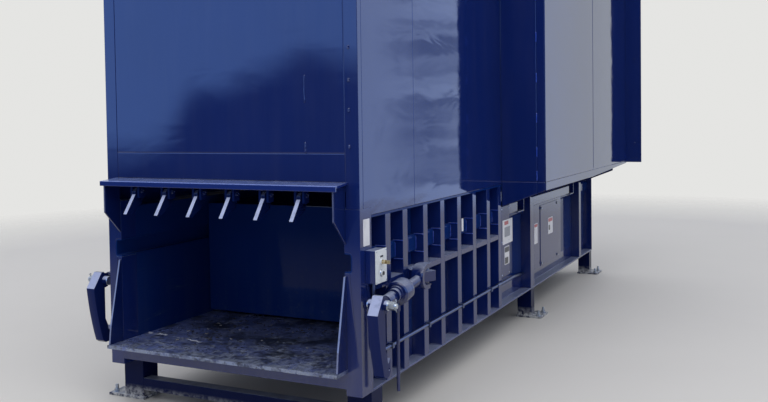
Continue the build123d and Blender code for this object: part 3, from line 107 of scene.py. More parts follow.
class CompactorLabels(PropertyGroup):
    """Bare label fields."""
    thickness: FloatProperty(
        name="Thickness", description="Thickness of a vinyl label", subtype="DISTANCE", unit="LENGTH",
        default=0.0012, min=0.0002, max=0.005)
    corner: FloatProperty(
        name="Corner", description="Corner radius of a label", subtype="DISTANCE", unit="LENGTH",
        default=0.006, min=0, max=0.05)


class CompactorWelds(PropertyGroup):
    """Weld beads."""
    radius: FloatProperty(
        name="Bead radius", description="Half the width of a weld bead", subtype="DISTANCE", unit="LENGTH",
        default=0.005, min=0.001, max=0.02)
    stitch: FloatProperty(
        name="Stitch length", description="Length of one stitch weld", subtype="DISTANCE", unit="LENGTH",
        default=0.075, min=0.01, max=0.5)
    seed: IntProperty(name="Seed", description="Seed for the unevenness of the beads", default=5)


class CompactorStage(PropertyGroup):
    """Floor and light."""
    floor: FloatVectorProperty(
        name="Floor", description="Pale studio floor", subtype="COLOR", size=4, default=linear("#C9C6C0"),
        min=0, max=1)
    world: FloatProperty(
        name="World", description="Strength of the surrounding light", default=0.95, min=0)
    front_gain: FloatProperty(
        name="Front sky", description="How much brighter the blue sky before the mouth is",
        default=2.3, min=0)
    side_gain: FloatProperty(
        name="Side sky", description="How much brighter the cool light to the right is",
        default=1.95, min=0)
    lamp: FloatProperty(
        name="Lamp", description="Power of the overhead softbox in watts", default=420, min=0)


# For each kind of node its output, and the sockets and settings that its values go to, in order
NODES = {
    "Background": ("Background", {"Color": None, "Strength": 1.0}),
    "BsdfPrincipled": ("BSDF", {}),
    "Bump": ("Normal", {"Height": None, "Distance": 0.001, "Normal": None, "Strength": 1.0}),
    "LightPath": (None, {}),
    "Mapping": ("Vector", {"Vector": None, "Scale": (1.0, 1.0, 1.0), "Location": (0.0, 0.0, 0.0)}),
    "MapRange": ("Result", {"Value": None, "From Min": 0.0, "From Max": 1.0, "To Min": 0.0, "To Max": 1.0}),
    "Math": ("Value", {"operation": "ADD", 0: None, 1: 0.0}),
    "Mix": (2, {0: None, 6: None, 7: None, "data_type": "RGBA"}),
    "MixShader": ("Shader", {0: None, 1: None, 2: None}),
    "OutputMaterial": (None, {"Surface": None}),
    "OutputWorld": (None, {"Surface": None}),
    "SeparateXYZ": (None, {"Vector": None}),
    "TexCoord": (None, {}),
    "TexNoise": ("Fac", {"Vector": None, "Scale": 1.0, "Detail": 4.0, "Roughness": 0.6, "Distortion": 0.0}),
    "VectorMath": ("Value", {"operation": "DOT_PRODUCT", 0: None, 1: None}),
}


def add(tree, kind, *values):
    """Add a node, set or link its values in the order of its row in NODES, and give its output or outputs.
    A name in lower case is one of the node's own settings, and any other name is a socket."""
    output, wanted = NODES[kind]
    made = tree.nodes.new("ShaderNode" + kind)
    for name, value in {**wanted, **dict(zip(wanted, values))}.items():
        if value is None:
            continue
        if isinstance(name, str) and name.islower():
            setattr(made, name, value)
        elif isinstance(value, bpy.types.NodeSocket):
            tree.links.new(value, made.inputs[name])
        else:
            made.inputs[name].default_value = value
    return made.outputs if output is None else made.outputs[output]


def new_material(name):
    """An empty node material with its shader and output, and the piece's object coordinates."""
    material = bpy.data.materials.new(name)
    material.use_nodes = True
    tree = material.node_tree
    tree.nodes.clear()
    shader = add(tree, "BsdfPrincipled").node
    add(tree, "OutputMaterial", shader.outputs["BSDF"])
    place = add(tree, "TexCoord")["Object"]
    return material, tree, shader, place


def gloss_enamel(name, ripple, scuff=0.0, dust=0.25, ledge=0.6, shade=1.0, lime=0.0, specular=0.5,
                 rubbed=None, band=None, tint=None):
    """Gloss polyurethane enamel sprayed on rolled steel: mirror-like, wavy where the sheet is thin.

    rubbed holds the way that pale edges face, how pale they are and the height that they reach: on the teeth
    the paleness is wear, on the cheeks and claws a painted highlight. band is the place along the machine before
    which an upward face gets a painted highlight. shade scales the enamel's colour, and so paints shade below 1
    and light above 1. tint is a colour to use in place of the enamel's own."""
    material, tree, shader, place = new_material(name)
    enamel = linear(tint) if tint else bpy.context.scene.compactor_paint.enamel
    # shade scales the colour: below 1 it paints shade into the enamel, above 1 it paints light
    colour = [c * shade for c in enamel[:3]] + [1.0]
    deep = [c * 0.8 for c in colour[:3]] + [1.0]
    # Sprayed film thickness drifts over about half a metre and shifts the blue slightly
    body = add(tree, "Mix", add(tree, "TexNoise", place, 2.0, 3.0), deep, colour)
    # Waves left by rolling and welding: about 160 mm apart up the sheet and 450 mm along it
    waves = add(tree, "TexNoise", add(tree, "Mapping", place, (2.2, 2.2, 6.2)), 1.0, 2.0, 0.4, 0.6)
    # Orange peel of the spray, 4 mm between dimples
    peel = add(tree, "TexNoise", place, 250.0, 1.0)
    film = add(tree, "Bump", peel, 0.00003, add(tree, "Bump", waves, ripple))
    # Road dust: heavier near the ground and in faint runs down the plates
    parts = add(tree, "SeparateXYZ", place)
    height = parts["Z"]
    runs = add(tree, "TexNoise", add(tree, "Mapping", place, (9.0, 9.0, 0.9)), 1.0, 6.0, 0.6)
    runs = add(tree, "MapRange", runs, 0.45, 0.8, 0.0, dust)
    veil = add(tree, "Math", "MULTIPLY", runs, add(tree, "MapRange", height, 0.0, 0.9, 1.0, 0.12))
    dusty = add(tree, "Mix", veil, body, linear("#8A8984"))
    # Settled dust, together with a painted reflection of the sky, lightens whatever faces up, in patches of
    # about 60 mm
    facing = add(tree, "TexCoord")["Normal"]
    upward = add(tree, "MapRange", add(tree, "SeparateXYZ", facing)["Z"], 0.6, 0.92)
    patches = add(tree, "MapRange", add(tree, "TexNoise", place, 17.0, 6.0), 0.3, 0.62, 0.5 * ledge, ledge)
    dust_and_sheen = add(tree, "Math", "MULTIPLY", upward, patches)
    dusty = add(tree, "Mix", dust_and_sheen, dusty, linear("#9BA3B4"))
    # A pale band on the upward faces in front of band: a painted highlight, not wear
    if band is not None:
        before = add(tree, "MapRange", parts["Y"], band - 0.003, band, 1.0, 0.0)
        edge = add(tree, "Math", "MULTIPLY", upward, before)
        dusty = add(tree, "Mix", edge, dusty, linear("#8494D2"))
    # Edges that face one way turn pale: worn bare on the teeth, a painted highlight on the cheeks and claws
    if rubbed:
        toward, strength, top = rubbed
        turned = add(tree, "VectorMath", "DOT_PRODUCT", facing, toward)
        facing_out = add(tree, "MapRange", turned, 0.86, 0.95, 0.0, strength)
        uneven = add(tree, "MapRange", add(tree, "TexNoise", place, 26.0, 5.0), 0.25, 0.5, 0.65, 1.0)
        below = add(tree, "MapRange", height, top, top + 0.002, 1.0, 0.0)
        wear_and_sheen = add(tree, "Math", "MULTIPLY", add(tree, "Math", "MULTIPLY", facing_out, uneven), below)
        dusty = add(tree, "Mix", wear_and_sheen, dusty, linear("#B7C1E4"))
    # Splashed lime and grit whiten the lowest few centimetres of what stands on the ground
    spots = add(tree, "MapRange", add(tree, "TexNoise", place, 30.0, 7.0, 0.7), 0.4, 0.6)
    splash = add(tree, "Math", "MULTIPLY", add(tree, "MapRange", height, 0.012, 0.09, lime, 0.0), spots)
    dusty = add(tree, "Mix", splash, dusty, linear("#C2C4C4"))
    # Scuffs from refuse, dragged along the machine and strongest near the floor
    scrapes = add(tree, "TexNoise", add(tree, "Mapping", place, (26.0, 3.0, 26.0)), 1.0, 8.0, 0.7)
    low_down = add(tree, "MapRange", height, FLOOR_TOP, FLOOR_TOP + 0.7, scuff, 0.0)
    rub = add(tree, "Math", "MULTIPLY", add(tree, "MapRange", scrapes, 0.56, 0.7), low_down)
    final = add(tree, "Mix", rub, dusty, linear("#35415F"))
    soft = add(tree, "Math", "ADD", add(tree, "Math", "ADD", veil, rub),
               add(tree, "Math", "ADD", dust_and_sheen, splash))
    tree.links.new(final, shader.inputs["Base Color"])
    tree.links.new(add(tree, "MapRange", soft, 0.0, 0.7, 0.045, 0.6), shader.inputs["Roughness"])
    tree.links.new(film, shader.inputs["Normal"])
    # Enamel starts at 1.52. Two coats and the bright edge of the reflections on the real one call for more
    shader.inputs["IOR"].default_value = 1.65
    shader.inputs["Specular IOR Level"].default_value = specular
    return material


def scraped_plate(name, front_y, wear, paint_left):
    """Floor plate whose enamel has been dragged off by refuse: dark steel, film dirt and dull scrapes."""
    material, tree, shader, place = new_material(name)
    scratch = add(tree, "TexNoise", add(tree, "Mapping", place, (24.0, 3.2, 24.0)), 1.0, 10.0, 0.74)
    blotch = add(tree, "TexNoise", place, 4.5, 8.0, 0.62)
    grime = add(tree, "TexNoise", place, 34.0, 7.0, 0.7)
    parts = add(tree, "SeparateXYZ", place)
    # Dirt film over dark steel, with blue left where loads ride less
    film = add(tree, "Mix", add(tree, "MapRange", blotch, 0.4, 0.6), linear("#111829"), linear("#56608A"))
    patches = add(tree, "MapRange", add(tree, "TexNoise", place, 7.0, 6.0), 0.42, 0.6)
    to_left = add(tree, "MapRange", parts["X"], 0.1, -0.75, 0.0, paint_left)
    blue = add(tree, "Math", "MULTIPLY", to_left, patches)
    film = add(tree, "Mix", blue, film, linear("#5A6AA6"))
    # Dried pale smears about 80 mm wide, thicker towards the mouth
    smear = add(tree, "Math", "ADD", add(tree, "TexNoise", place, 12.0, 8.0, 0.66, 0.8),
                add(tree, "MapRange", parts["Y"], front_y, front_y + 0.5, 0.07, -0.03))
    film = add(tree, "Mix", add(tree, "MapRange", smear, 0.5, 0.68, 0.0, 0.8), film, linear("#7E8698"))
    film = add(tree, "Mix", add(tree, "MapRange", grime, 0.5, 0.62, 0.0, 0.85), film, linear("#17130F"))
    # The first 120 mm at the mouth are rubbed by every load, unevenly along the edge
    mouth = add(tree, "Math", "MULTIPLY",
                add(tree, "MapRange", parts["Y"], front_y + 0.01, front_y + 0.14, 0.3, 0.0),
                add(tree, "MapRange", add(tree, "TexNoise", place, 9.0, 5.0), 0.4, 0.56))
    bare = add(tree, "MapRange", add(tree, "Math", "ADD", scratch, mouth), wear, wear + 0.1)
    final = add(tree, "Mix", bare, film, linear("#8A93A8"))
    # One load has dragged the paint off in a pale streak about 12 mm wide across the left of the mouth
    across = add(tree, "Math", "MULTIPLY", parts["X"], STREAK_SLOPE)
    offset = add(tree, "Math", "SUBTRACT", add(tree, "Math", "SUBTRACT", parts["Y"], across), STREAK_Y)
    offset = add(tree, "Math", "ADD", offset,
                 add(tree, "MapRange", add(tree, "TexNoise", place, 14.0), 0.3, 0.7, -0.02, 0.02))
    streak = add(tree, "MapRange", add(tree, "Math", "ABSOLUTE", offset), 0.004, 0.01, 1.0, 0.0)
    reached = add(tree, "MapRange", parts["X"], STREAK_END, STREAK_END - 0.03)
    broken = add(tree, "MapRange", add(tree, "TexNoise", place, 22.0, 6.0), 0.44, 0.54)
    streak = add(tree, "Math", "MULTIPLY", add(tree, "Math", "MULTIPLY", streak, reached), broken)
    final = add(tree, "Mix", streak, final, linear("#D8DCE6"))
    # Wet film shines in pools between the dry dirt
    wet = add(tree, "MapRange", blotch, 0.42, 0.6, 0.55, 0.24)
    tree.links.new(final, shader.inputs["Base Color"])
    tree.links.new(wet, shader.inputs["Roughness"])
    tree.links.new(add(tree, "Math", "MULTIPLY", bare, 0.6), shader.inputs["Metallic"])
    crust = add(tree, "Bump", grime, 0.0012, add(tree, "Bump", blotch, 0.004))
    tree.links.new(crust, shader.inputs["Normal"])
    return material


def zinc_where(material, inner_x, outer_x, pale="#D3D8DC", dark="#9AA0A5"):
    """Turn a painted material to bright zinc nearer the machine's middle than one distance, and further out
    than another."""
    tree = material.node_tree
    shader = next(n for n in tree.nodes if n.type == "BSDF_PRINCIPLED")
    place = add(tree, "TexCoord")["Object"]
    across = add(tree, "SeparateXYZ", place)["X"]
    across = add(tree, "Math", "ABSOLUTE", across, 0.0)
    plated = add(tree, "Math", "MAXIMUM", add(tree, "Math", "GREATER_THAN", across, outer_x),
                 add(tree, "Math", "LESS_THAN", across, inner_x))
    zinc = add(tree, "Mix", add(tree, "TexNoise", place, 120.0, 5.0), linear(dark), linear(pale))
    paint = shader.inputs["Base Color"].links[0].from_socket
    gloss = shader.inputs["Roughness"].links[0].from_socket
    tree.links.new(add(tree, "Mix", plated, paint, zinc), shader.inputs["Base Color"])
    rough = add(tree, "MapRange", plated, 0.0, 1.0, gloss, 0.3)
    tree.links.new(rough, shader.inputs["Roughness"])
    tree.links.new(plated, shader.inputs["Metallic"])
    return material


def bright_metal(name, pale, dark, roughness, grain, metallic=1.0):
    """Metal with a mottled finish, such as hot-dip zinc, turned brass or ground chrome."""
    material, tree, shader, place = new_material(name)
    spots = add(tree, "TexNoise", place, grain, 5.0)
    tree.links.new(add(tree, "Mix", spots, linear(dark), linear(pale)), shader.inputs["Base Color"])
    uneven = add(tree, "MapRange", spots, 0.3, 0.7, roughness * 0.8, roughness * 1.3)
    tree.links.new(uneven, shader.inputs["Roughness"])
    shader.inputs["Metallic"].default_value = metallic
    return material


def moulded(name, colour, roughness, grain=180.0):
    """Painted or moulded surface with a fine grain and slight soiling."""
    material, tree, shader, place = new_material(name)
    darker = [c * 0.72 for c in linear(colour)[:3]] + [1.0]
    soil = add(tree, "MapRange", add(tree, "TexNoise", place, 14.0, 6.0, 0.65), 0.5, 0.75, 0.0, 0.8)
    tree.links.new(add(tree, "Mix", soil, linear(colour), darker), shader.inputs["Base Color"])
    fine = add(tree, "Bump", add(tree, "TexNoise", place, grain, 2.0), 0.0001, None, 0.5)
    tree.links.new(fine, shader.inputs["Normal"])
    shader.inputs["Roughness"].default_value = roughness
    return material


def finish_mesh(name, mesh, material, body):
    """Turn a bmesh into a piece that rides on a body."""
    data = bpy.data.meshes.new(name)
    mesh.to_mesh(data)
    mesh.free()
    piece = bpy.data.objects.new(name, data)
    bpy.context.scene.collection.objects.link(piece)
    piece.data.materials.append(material)
    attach(piece, body)
    return piece


def bar(mesh, centre, size, turn=None, bevel=0.0):
    """Add a block with rounded edges."""
    matrix = Matrix.Translation(centre) @ (turn or Matrix.Identity(4)) @ Matrix.Diagonal((*size, 1))
    made = bmesh.ops.create_cube(mesh, size=1.0, matrix=matrix)
    if bevel:
        edges = {edge for vert in made["verts"] for edge in vert.link_edges}
        bmesh.ops.bevel(mesh, geom=list(edges), offset=bevel, segments=2, profile=0.5, affect="EDGES",
                        material=-1)


def drum(mesh, centre, axis, radius, depth, sides=24, tip=None, bevel=0.0):
    """Add a round or many-sided bar along an axis."""
    turn = Vector((0, 0, 1)).rotation_difference(Vector(axis)).to_matrix().to_4x4()
    made = bmesh.ops.create_cone(
        mesh, cap_ends=True, segments=sides, radius1=radius, radius2=radius if tip is None else tip,
        depth=depth, matrix=Matrix.Translation(centre) @ turn)
    if bevel:
        rims = [e for v in made["verts"] for e in v.link_edges if len(e.link_faces) == 2
                and e.calc_face_angle(0) > radians(60)]
        bmesh.ops.bevel(mesh, geom=list(set(rims)), offset=bevel, segments=2, profile=0.5, affect="EDGES",
                        material=-1)


def ring(mesh, centre, axis, radius, wire):
    """Add a closed ring of round wire."""
    turn = Vector((0, 0, 1)).rotation_difference(Vector(axis)).to_matrix().to_4x4()
    upright = Matrix.Translation((radius, 0, 0)) @ Matrix.Rotation(pi / 2, 4, "X")
    spot = Matrix.Translation(centre) @ turn @ upright
    made = bmesh.ops.create_circle(mesh, cap_ends=False, segments=8, radius=wire, matrix=spot)
    edges = list({edge for vert in made["verts"] for edge in vert.link_edges})
    bmesh.ops.spin(mesh, geom=made["verts"] + edges, cent=centre, axis=axis, angle=2 * pi, steps=20,
                   use_merge=True)
    bmesh.ops.recalc_face_normals(mesh, faces=mesh.faces[:])


def bead(mesh, start, end, radius, luck):
    """Add one weld stitch: a half-sunk, slightly uneven bead between two points."""
    start, end = Vector(start), Vector(end)
    run = end - start
    turn = Vector((0, 0, 1)).rotation_difference(run).to_matrix().to_4x4()
    made = bmesh.ops.create_uvsphere(mesh, u_segments=8, v_segments=10, radius=1.0)
    for vert in made["verts"]:
        # Blunt ends: the bead keeps its width until close to where the arc stopped
        x, y, z = vert.co
        girth = 1.0 if abs(z) < 0.9 else 0.75
        around = (x * x + y * y) ** 0.5 or 1.0
        wide = radius * girth * luck.uniform(0.85, 1.12) if abs(z) < 0.99 else 0.0
        vert.co = Vector((x / around * wide, y / around * wide, z * run.length / 2))
    bmesh.ops.transform(mesh, matrix=Matrix.Translation((start + end) / 2) @ turn, verts=made["verts"])


def node_names(*words):
    """CAD nodes whose names hold any of the given words."""
    return [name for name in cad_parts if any(word in name for word in words)]


def dress(names, material, edge=0.0):
    """Give CAD nodes a finish, and rounded edges through modifiers."""
    for name in names:
        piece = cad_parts[name]
        piece.data.materials.clear()
        piece.data.materials.append(material)
        if edge:
            weld = piece.modifiers.new("join", "WELD")
            weld.merge_threshold = 0.00005
            bevel = piece.modifiers.new("edges", "BEVEL")
            bevel.width = edge
            bevel.segments = 2
            bevel.limit_method = "ANGLE"
            bevel.angle_limit = radians(40)
            bevel.use_clamp_overlap = True
            bevel.harden_normals = False


class COMPACTOR_OT_finishes(Operator):
    """Give every carried-over part its finish"""
    bl_idname = "compactor.finishes"
    bl_label = "Finishes"

    def execute(self, context):
        paint = context.scene.compactor_paint
        front = gloss_enamel("gloss_enamel_on_hopper_sheet", paint.ripple * 0.4)
        sheet = gloss_enamel("gloss_enamel_on_hood_sheet", paint.ripple, ledge=0.35)
        plate = gloss_enamel("gloss_enamel_on_frame_plate", paint.plate_ripple, dust=0.15)
        cover = gloss_enamel("dusty_enamel_on_cover_plate", paint.plate_ripple, dust=0.5, specular=0.35)
        shaded = gloss_enamel("dull_enamel_on_box_cover", paint.plate_ripple, dust=0.5, specular=0.2)
        # Legs: lime splashes near the ground, on a darker copy of the enamel that paints the shade under the
        # machine
        footing = gloss_enamel("limed_enamel_on_legs", paint.plate_ripple, dust=0.02, shade=0.4, lime=0.95,
                               specular=0.05)
        # Floor beams and tooth hangers: a darker copy of the enamel, painted shade
        shade_below = gloss_enamel("enamel_with_painted_shade_on_beams_and_hangers", paint.plate_ripple, dust=0.06, shade=0.7,
                             specular=0.14)
        inside = gloss_enamel("scuffed_enamel_inside_the_chamber", paint.plate_ripple * 2, scuff=0.5,
                              dust=0.1, ledge=0.04, shade=1.0, specular=0.06, tint="#0C2A6A")
        # Lip: a lighter copy of the enamel with a pale band along its front top edge, both painted highlight
        lip = gloss_enamel("gloss_enamel_with_painted_highlight_on_folded_lip", paint.plate_ripple, dust=0.1, ledge=0.3, shade=1.35,
                           band=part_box("mouth_lip")[0].y + BRIGHT_EDGE)
        # Cheeks: a darker copy of the enamel, painted shade, with a painted highlight on the plate edges that
        # face the front
        cheek = gloss_enamel("enamel_on_cheek_with_painted_highlight_and_shade", paint.plate_ripple, dust=0.15, shade=0.75,
                             rubbed=((0.0, -0.9, 0.436), 0.4, NO_LIMIT))
        # The front edge of a tooth starts at 0.78 of its height. Nothing rubs above that
        tooth_low, tooth_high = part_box("tooth_1")
        tooth_brow = tooth_low.z + 0.78 * (tooth_high.z - tooth_low.z)
        # Teeth: a darker copy of the enamel, painted shade, with their front edges worn pale
        tooth = gloss_enamel("enamel_on_tooth_with_rubbed_edge_and_painted_shade", paint.plate_ripple, dust=0.1, shade=0.5,
                             specular=0.3, rubbed=((0.0, -0.8, 0.6), 0.8, tooth_brow))
        # Binder parts: a slightly darker copy of the enamel, painted shade
        casting = gloss_enamel("gloss_enamel_with_painted_shade_on_forged_steel", paint.plate_ripple, dust=0.05, shade=0.8)
        # Claws: a darker copy of the enamel, painted shade, with a painted highlight on the edges that face up
        # and forward
        claw = gloss_enamel("enamel_claw_with_zinc_nut_and_painted_light", paint.plate_ripple, dust=0.03, shade=0.7,
                            specular=0.08, rubbed=((0.0, -0.7, 0.714), 0.75, NO_LIMIT))
        zinc_where(claw, CLAW_BARE_INSIDE, CLAW_BARE_OUTSIDE)
        floor = scraped_plate("scraped_floor_plate", SNOUT_Y, 0.68, 0.8)
        # Deck: a much darker copy of the enamel, painted shade
        deck = gloss_enamel("enamel_with_painted_shade_on_deck", paint.plate_ripple, dust=0.1, ledge=0.1, shade=0.35,
                            specular=0.05)
        zinc = bright_metal("hot_dip_zinc", "#C4C8CA", "#8E9497", 0.38, 90.0)
        chrome = bright_metal("hard_chrome_rod", "#D4D6D8", "#B4B8BC", 0.08, 12.0)
        brass = bright_metal("turned_brass", "#E6D6AE", "#B59A66", 0.22, 160.0)
        dress(["hopper_front_panels", "hopper_corner_strips"], front, paint.edge)
        dress(node_names("hopper_side", "walkway_side", "step_panels", "hood_roofs"), sheet, paint.edge)
        dress(node_names("front_frame", "side_sills", "_side_ribs", "rear_side_frame", "deck_frame",
                         "cylinder_anchor"), plate, paint.edge)
        dress(["guide_channels"], inside, paint.edge)
        dress(["floor_beams"], shade_below, paint.edge)
        dress(["wall_flange"], plate)
        dress(["mouth_lip"], lip, paint.edge)
        dress(["snout_cheeks"], cheek, paint.edge)
        dress(["legs"], footing, paint.edge)
        dress(["side_walls"], inside)
        # Top of the ram: a darker copy of the enamel, painted shade
        dress(["ram_shell"], gloss_enamel("matt_enamel_with_painted_shade_on_ram_top", paint.plate_ripple, dust=0.1, ledge=0.0,
                                          shade=0.6, specular=0.0))
        dress(["ram_face"], inside, paint.edge)
        dress(node_names("access_"), cover, paint.edge)
        dress(["junction_box"], shaded, paint.edge)
        dress(node_names("switch_box", "oil_tank"), plate, paint.edge)
        dress(node_names("tooth_"), tooth, paint.edge)
        dress(["tooth_hangers"], shade_below, paint.edge)
        dress(node_names("binder_"), casting, paint.edge)
        dress(node_names("binder_claw"), claw)
        dress(["chamber_floor"], floor)
        dress(["walkway_deck"], deck)
        dress(node_names("anchor_bolts", "door_bolts"), zinc)
        clip = bright_metal("dull_zinc_clip", "#6C748A", "#4A5268", 0.45, 70.0)
        dress(node_names("conduit_clamps", "pressure_lines"), clip)
        dress(["conduit"], bright_metal("galvanised_conduit", "#626C88", "#424C6C", 0.3, 40.0))
        dress(["cylinder_rod"], chrome)
        dress(["key_switch"], brass)
        dress(["ram_shoes"], bright_metal("rubbed_steel_shoe", "#8C8A88", "#5E5C5C", 0.4, 60.0))
        dress(["cylinder_barrel", "pump_and_motor"], moulded("grey_machine_enamel", "#5B6066", 0.35))
        dress(["switch_cover"], moulded("pale_grey_cover_enamel", "#D5D9DC", 0.35), 0.0015)
        dress(["push_button"], moulded("black_button_plastic", "#17181A", 0.3))
        return {"FINISHED"}


def label_plate(mesh, low, high, x, thickness, corner):
    """Add a thin upright plate with round corners on a face that looks along +X."""
    size = Vector((thickness, high[0] - low[0], high[1] - low[1]))
    centre = Vector((x + thickness / 2, (low[0] + high[0]) / 2, (low[1] + high[1]) / 2))
    matrix = Matrix.Translation(centre) @ Matrix.Diagonal((*size, 1))
    made = bmesh.ops.create_cube(mesh, size=1.0, matrix=matrix)
    edges = {e for v in made["verts"] for e in v.link_edges
             if abs((e.verts[0].co - e.verts[1].co).x) > thickness / 2}
    bmesh.ops.bevel(mesh, geom=list(edges), offset=corner, segments=4, profile=0.5, affect="EDGES",
                    material=-1)


class COMPACTOR_OT_labels(Operator):
    """Set bare label fields where the machine carries its notices"""
    bl_idname = "compactor.labels"
    bl_label = "Labels"

    def execute(self, context):
        values = context.scene.compactor_labels
        white = moulded("white_vinyl", "#DDDDE0", 0.3)
        red = moulded("red_vinyl", "#B43A3A", 0.3)
        grey = moulded("grey_vinyl", "#8A8C92", 0.35)
        dark = moulded("black_vinyl", "#26272B", 0.3)
        door_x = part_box("access_door")[1].x
        wall_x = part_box("side_walls")[1].x
        # name, colour, places behind the post face in mm, heights in mm, face
        fields = (
            ("post_label", white, (34, 108), (1032, 1174), SIDE_X),
            ("wall_sign", white, (2361, 2606), (720, 907), SIDE_X),
            ("wall_sign_band", red, (2405, 2500), (868, 896), SIDE_X + values.thickness),
            ("wall_sign_field", grey, (2405, 2540), (775, 850), SIDE_X + values.thickness),
            ("box_plate", white, (2402, 2520), (560, 700), SIDE_X),
            ("box_plate_top", dark, (2410, 2512), (655, 694), SIDE_X + values.thickness),
            ("box_plate_low", dark, (2410, 2490), (566, 615), SIDE_X + values.thickness),
            ("panel_label", white, (3222, 3325), (608, 783), SIDE_X),
            ("panel_label_band", red, (3230, 3317), (752, 776), SIDE_X + values.thickness),
            ("door_label", white, (3650, 3810), (642, 789), door_x),
            ("door_label_band", red, (3664, 3796), (752, 782), door_x + values.thickness),
            ("door_label_mark", dark, (3670, 3712), (678, 722), door_x + values.thickness),
            ("rib_label", white, (1480, 1512), (935, 1021), wall_x),
        )
        for name, material, places, heights, x in fields:
            mesh = bmesh.new()
            low = (back(places[0]), heights[0] / 1000)
            high = (back(places[1]), heights[1] / 1000)
            label_plate(mesh, low, high, x, values.thickness, values.corner)
            finish_mesh(name, mesh, material, "frame")
        return {"FINISHED"}


class COMPACTOR_OT_weld_beads(Operator):
    """Lay the painted stitch and fillet welds"""
    bl_idname = "compactor.weld_beads"
    bl_label = "Weld beads"

    def execute(self, context):
        values = context.scene.compactor_welds
        paint = context.scene.compactor_paint
        luck = random.Random(values.seed)
        painted = gloss_enamel("gloss_enamel_on_weld_metal", paint.plate_ripple)
        # Pale welds: the enamel three times as light, a painted highlight on the round beads
        lit = gloss_enamel("enamel_with_painted_highlight_on_welds", paint.plate_ripple, dust=0.5, shade=3.0)
        seam_shade = gloss_enamel("enamel_with_painted_shade_in_corner_seams", paint.plate_ripple, shade=0.5, specular=0.2)
        radius = values.radius
        # Stitches down the seam of each step panel, in the pale weld enamel that paints a highlight on them
        mesh = bmesh.new()
        stitch_heights = (1.257, 1.437, 1.691, 1.990, 2.294, 2.600, 2.900, 3.200)
        for height in stitch_heights:
            for side in (1, -1):
                centre = Vector((side * STEP_SEAM_X, STEP_Y, height))
                reach = Vector((0, 0, values.stitch / 2))
                bead(mesh, centre - reach, centre + reach, radius, luck)
        finish_mesh("step_stitch_welds", mesh, lit, "frame")
        # Sealed corner between the hopper's side and the step, and sealed seam of the walkway's side, in a
        # darker copy of the enamel that paints the shade in these creases
        seal_radius, stand_out, end_gap = 0.003, 0.0005, 0.01
        mesh = bmesh.new()
        for side in (1, -1):
            corner_x = side * (SIDE_X + stand_out)
            low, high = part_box("step_panels")[0].z + end_gap * 2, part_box("hopper_side_panels")[1].z - end_gap
            centre = (corner_x, STEP_Y - stand_out, (low + high) / 2)
            drum(mesh, centre, (0, 0, 1), seal_radius + stand_out, high - low, 8)
            walk_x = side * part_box("walkway_side_panels")[1].x
            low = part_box("walkway_side_panels")[0].z + end_gap * 2
            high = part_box("walkway_side_panels")[1].z - end_gap
            centre = (walk_x - side * stand_out * 2, back(WALKWAY_SEAM), (low + high) / 2)
            drum(mesh, centre, (0, 0, 1), seal_radius, high - low, 8)
        finish_mesh("hood_corner_seams", mesh, seam_shade, "frame")
        # Marks of stiffeners welded behind the hopper's front sheet
        stiffener_x, tack_x, tack = 0.537, 0.803, 0.01
        tack_heights = (1.556, 1.748, 1.904, 2.074, 2.380, 2.700, 3.020)
        mesh = bmesh.new()
        for low, high in ((1.523, 1.582), (1.790, 1.939)):
            bead(mesh, (stiffener_x, FACE_Y, low), (stiffener_x, FACE_Y, high), radius, luck)
        for height in tack_heights:
            start, end = (tack_x, FACE_Y, height - tack), (tack_x, FACE_Y, height + tack)
            bead(mesh, start, end, radius * 1.4, luck)
        finish_mesh("hopper_front_welds", mesh, painted, "frame")
        # Fillets at the foot of every rib
        fillet_inner, fillet_outer, rib_half = 0.780, 0.850, 33
        mesh = bmesh.new()
        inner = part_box("side_walls")[1].x
        rib_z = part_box("right_side_ribs")[0].z
        for place in RIB_PLACES:
            for side in (1, -1):
                for edge in (-rib_half, rib_half):
                    y = back(place + edge)
                    start, end = (side * fillet_inner, y, rib_z), (side * fillet_outer, y, rib_z)
                    bead(mesh, start, end, radius * 0.9, luck)
        finish_mesh("frame_fillet_welds", mesh, painted, "frame")
        # Bead round each guide channel where it runs into a rib, in the pale weld enamel that paints a highlight
        # on it
        mesh = bmesh.new()
        guide_low, guide_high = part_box("guide_channels")
        round_off = 0.016
        rib_front = 36
        for place in RIB_PLACES:
            for side in (1, -1):
                y = back(place - rib_front)
                inner_x, outer_x = side * (inner + 0.002), side * guide_high.x
                low, high = guide_low.z, guide_high.z
                shoulder = outer_x - side * round_off
                turns = ((inner_x, high), (shoulder, high), (outer_x, high - round_off),
                         (outer_x, low + round_off), (shoulder, low), (inner_x, low))
                for (x1, z1), (x2, z2) in zip(turns, turns[1:]):
                    bead(mesh, (x1, y, z1), (x2, y, z2), radius * 0.7, luck)
        finish_mesh("guide_channel_welds", mesh, lit, "frame")
        # Fillets between the lip and the tooth lugs
        mesh = bmesh.new()
        hang_low, hang_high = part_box("tooth_hangers")
        to_lug_face = 0.019
        for index in range(TEETH):
            low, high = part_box(f"tooth_{index + 1}")
            for x in (low.x - to_lug_face, high.x + to_lug_face):
                start = (x, hang_low.y + 0.004, hang_high.z - 0.009)
                end = (x, hang_high.y - 0.004, hang_high.z - 0.006)
                bead(mesh, start, end, radius * 0.8, luck)
        finish_mesh("tooth_lug_welds", mesh, painted, "frame")
        return {"FINISHED"}


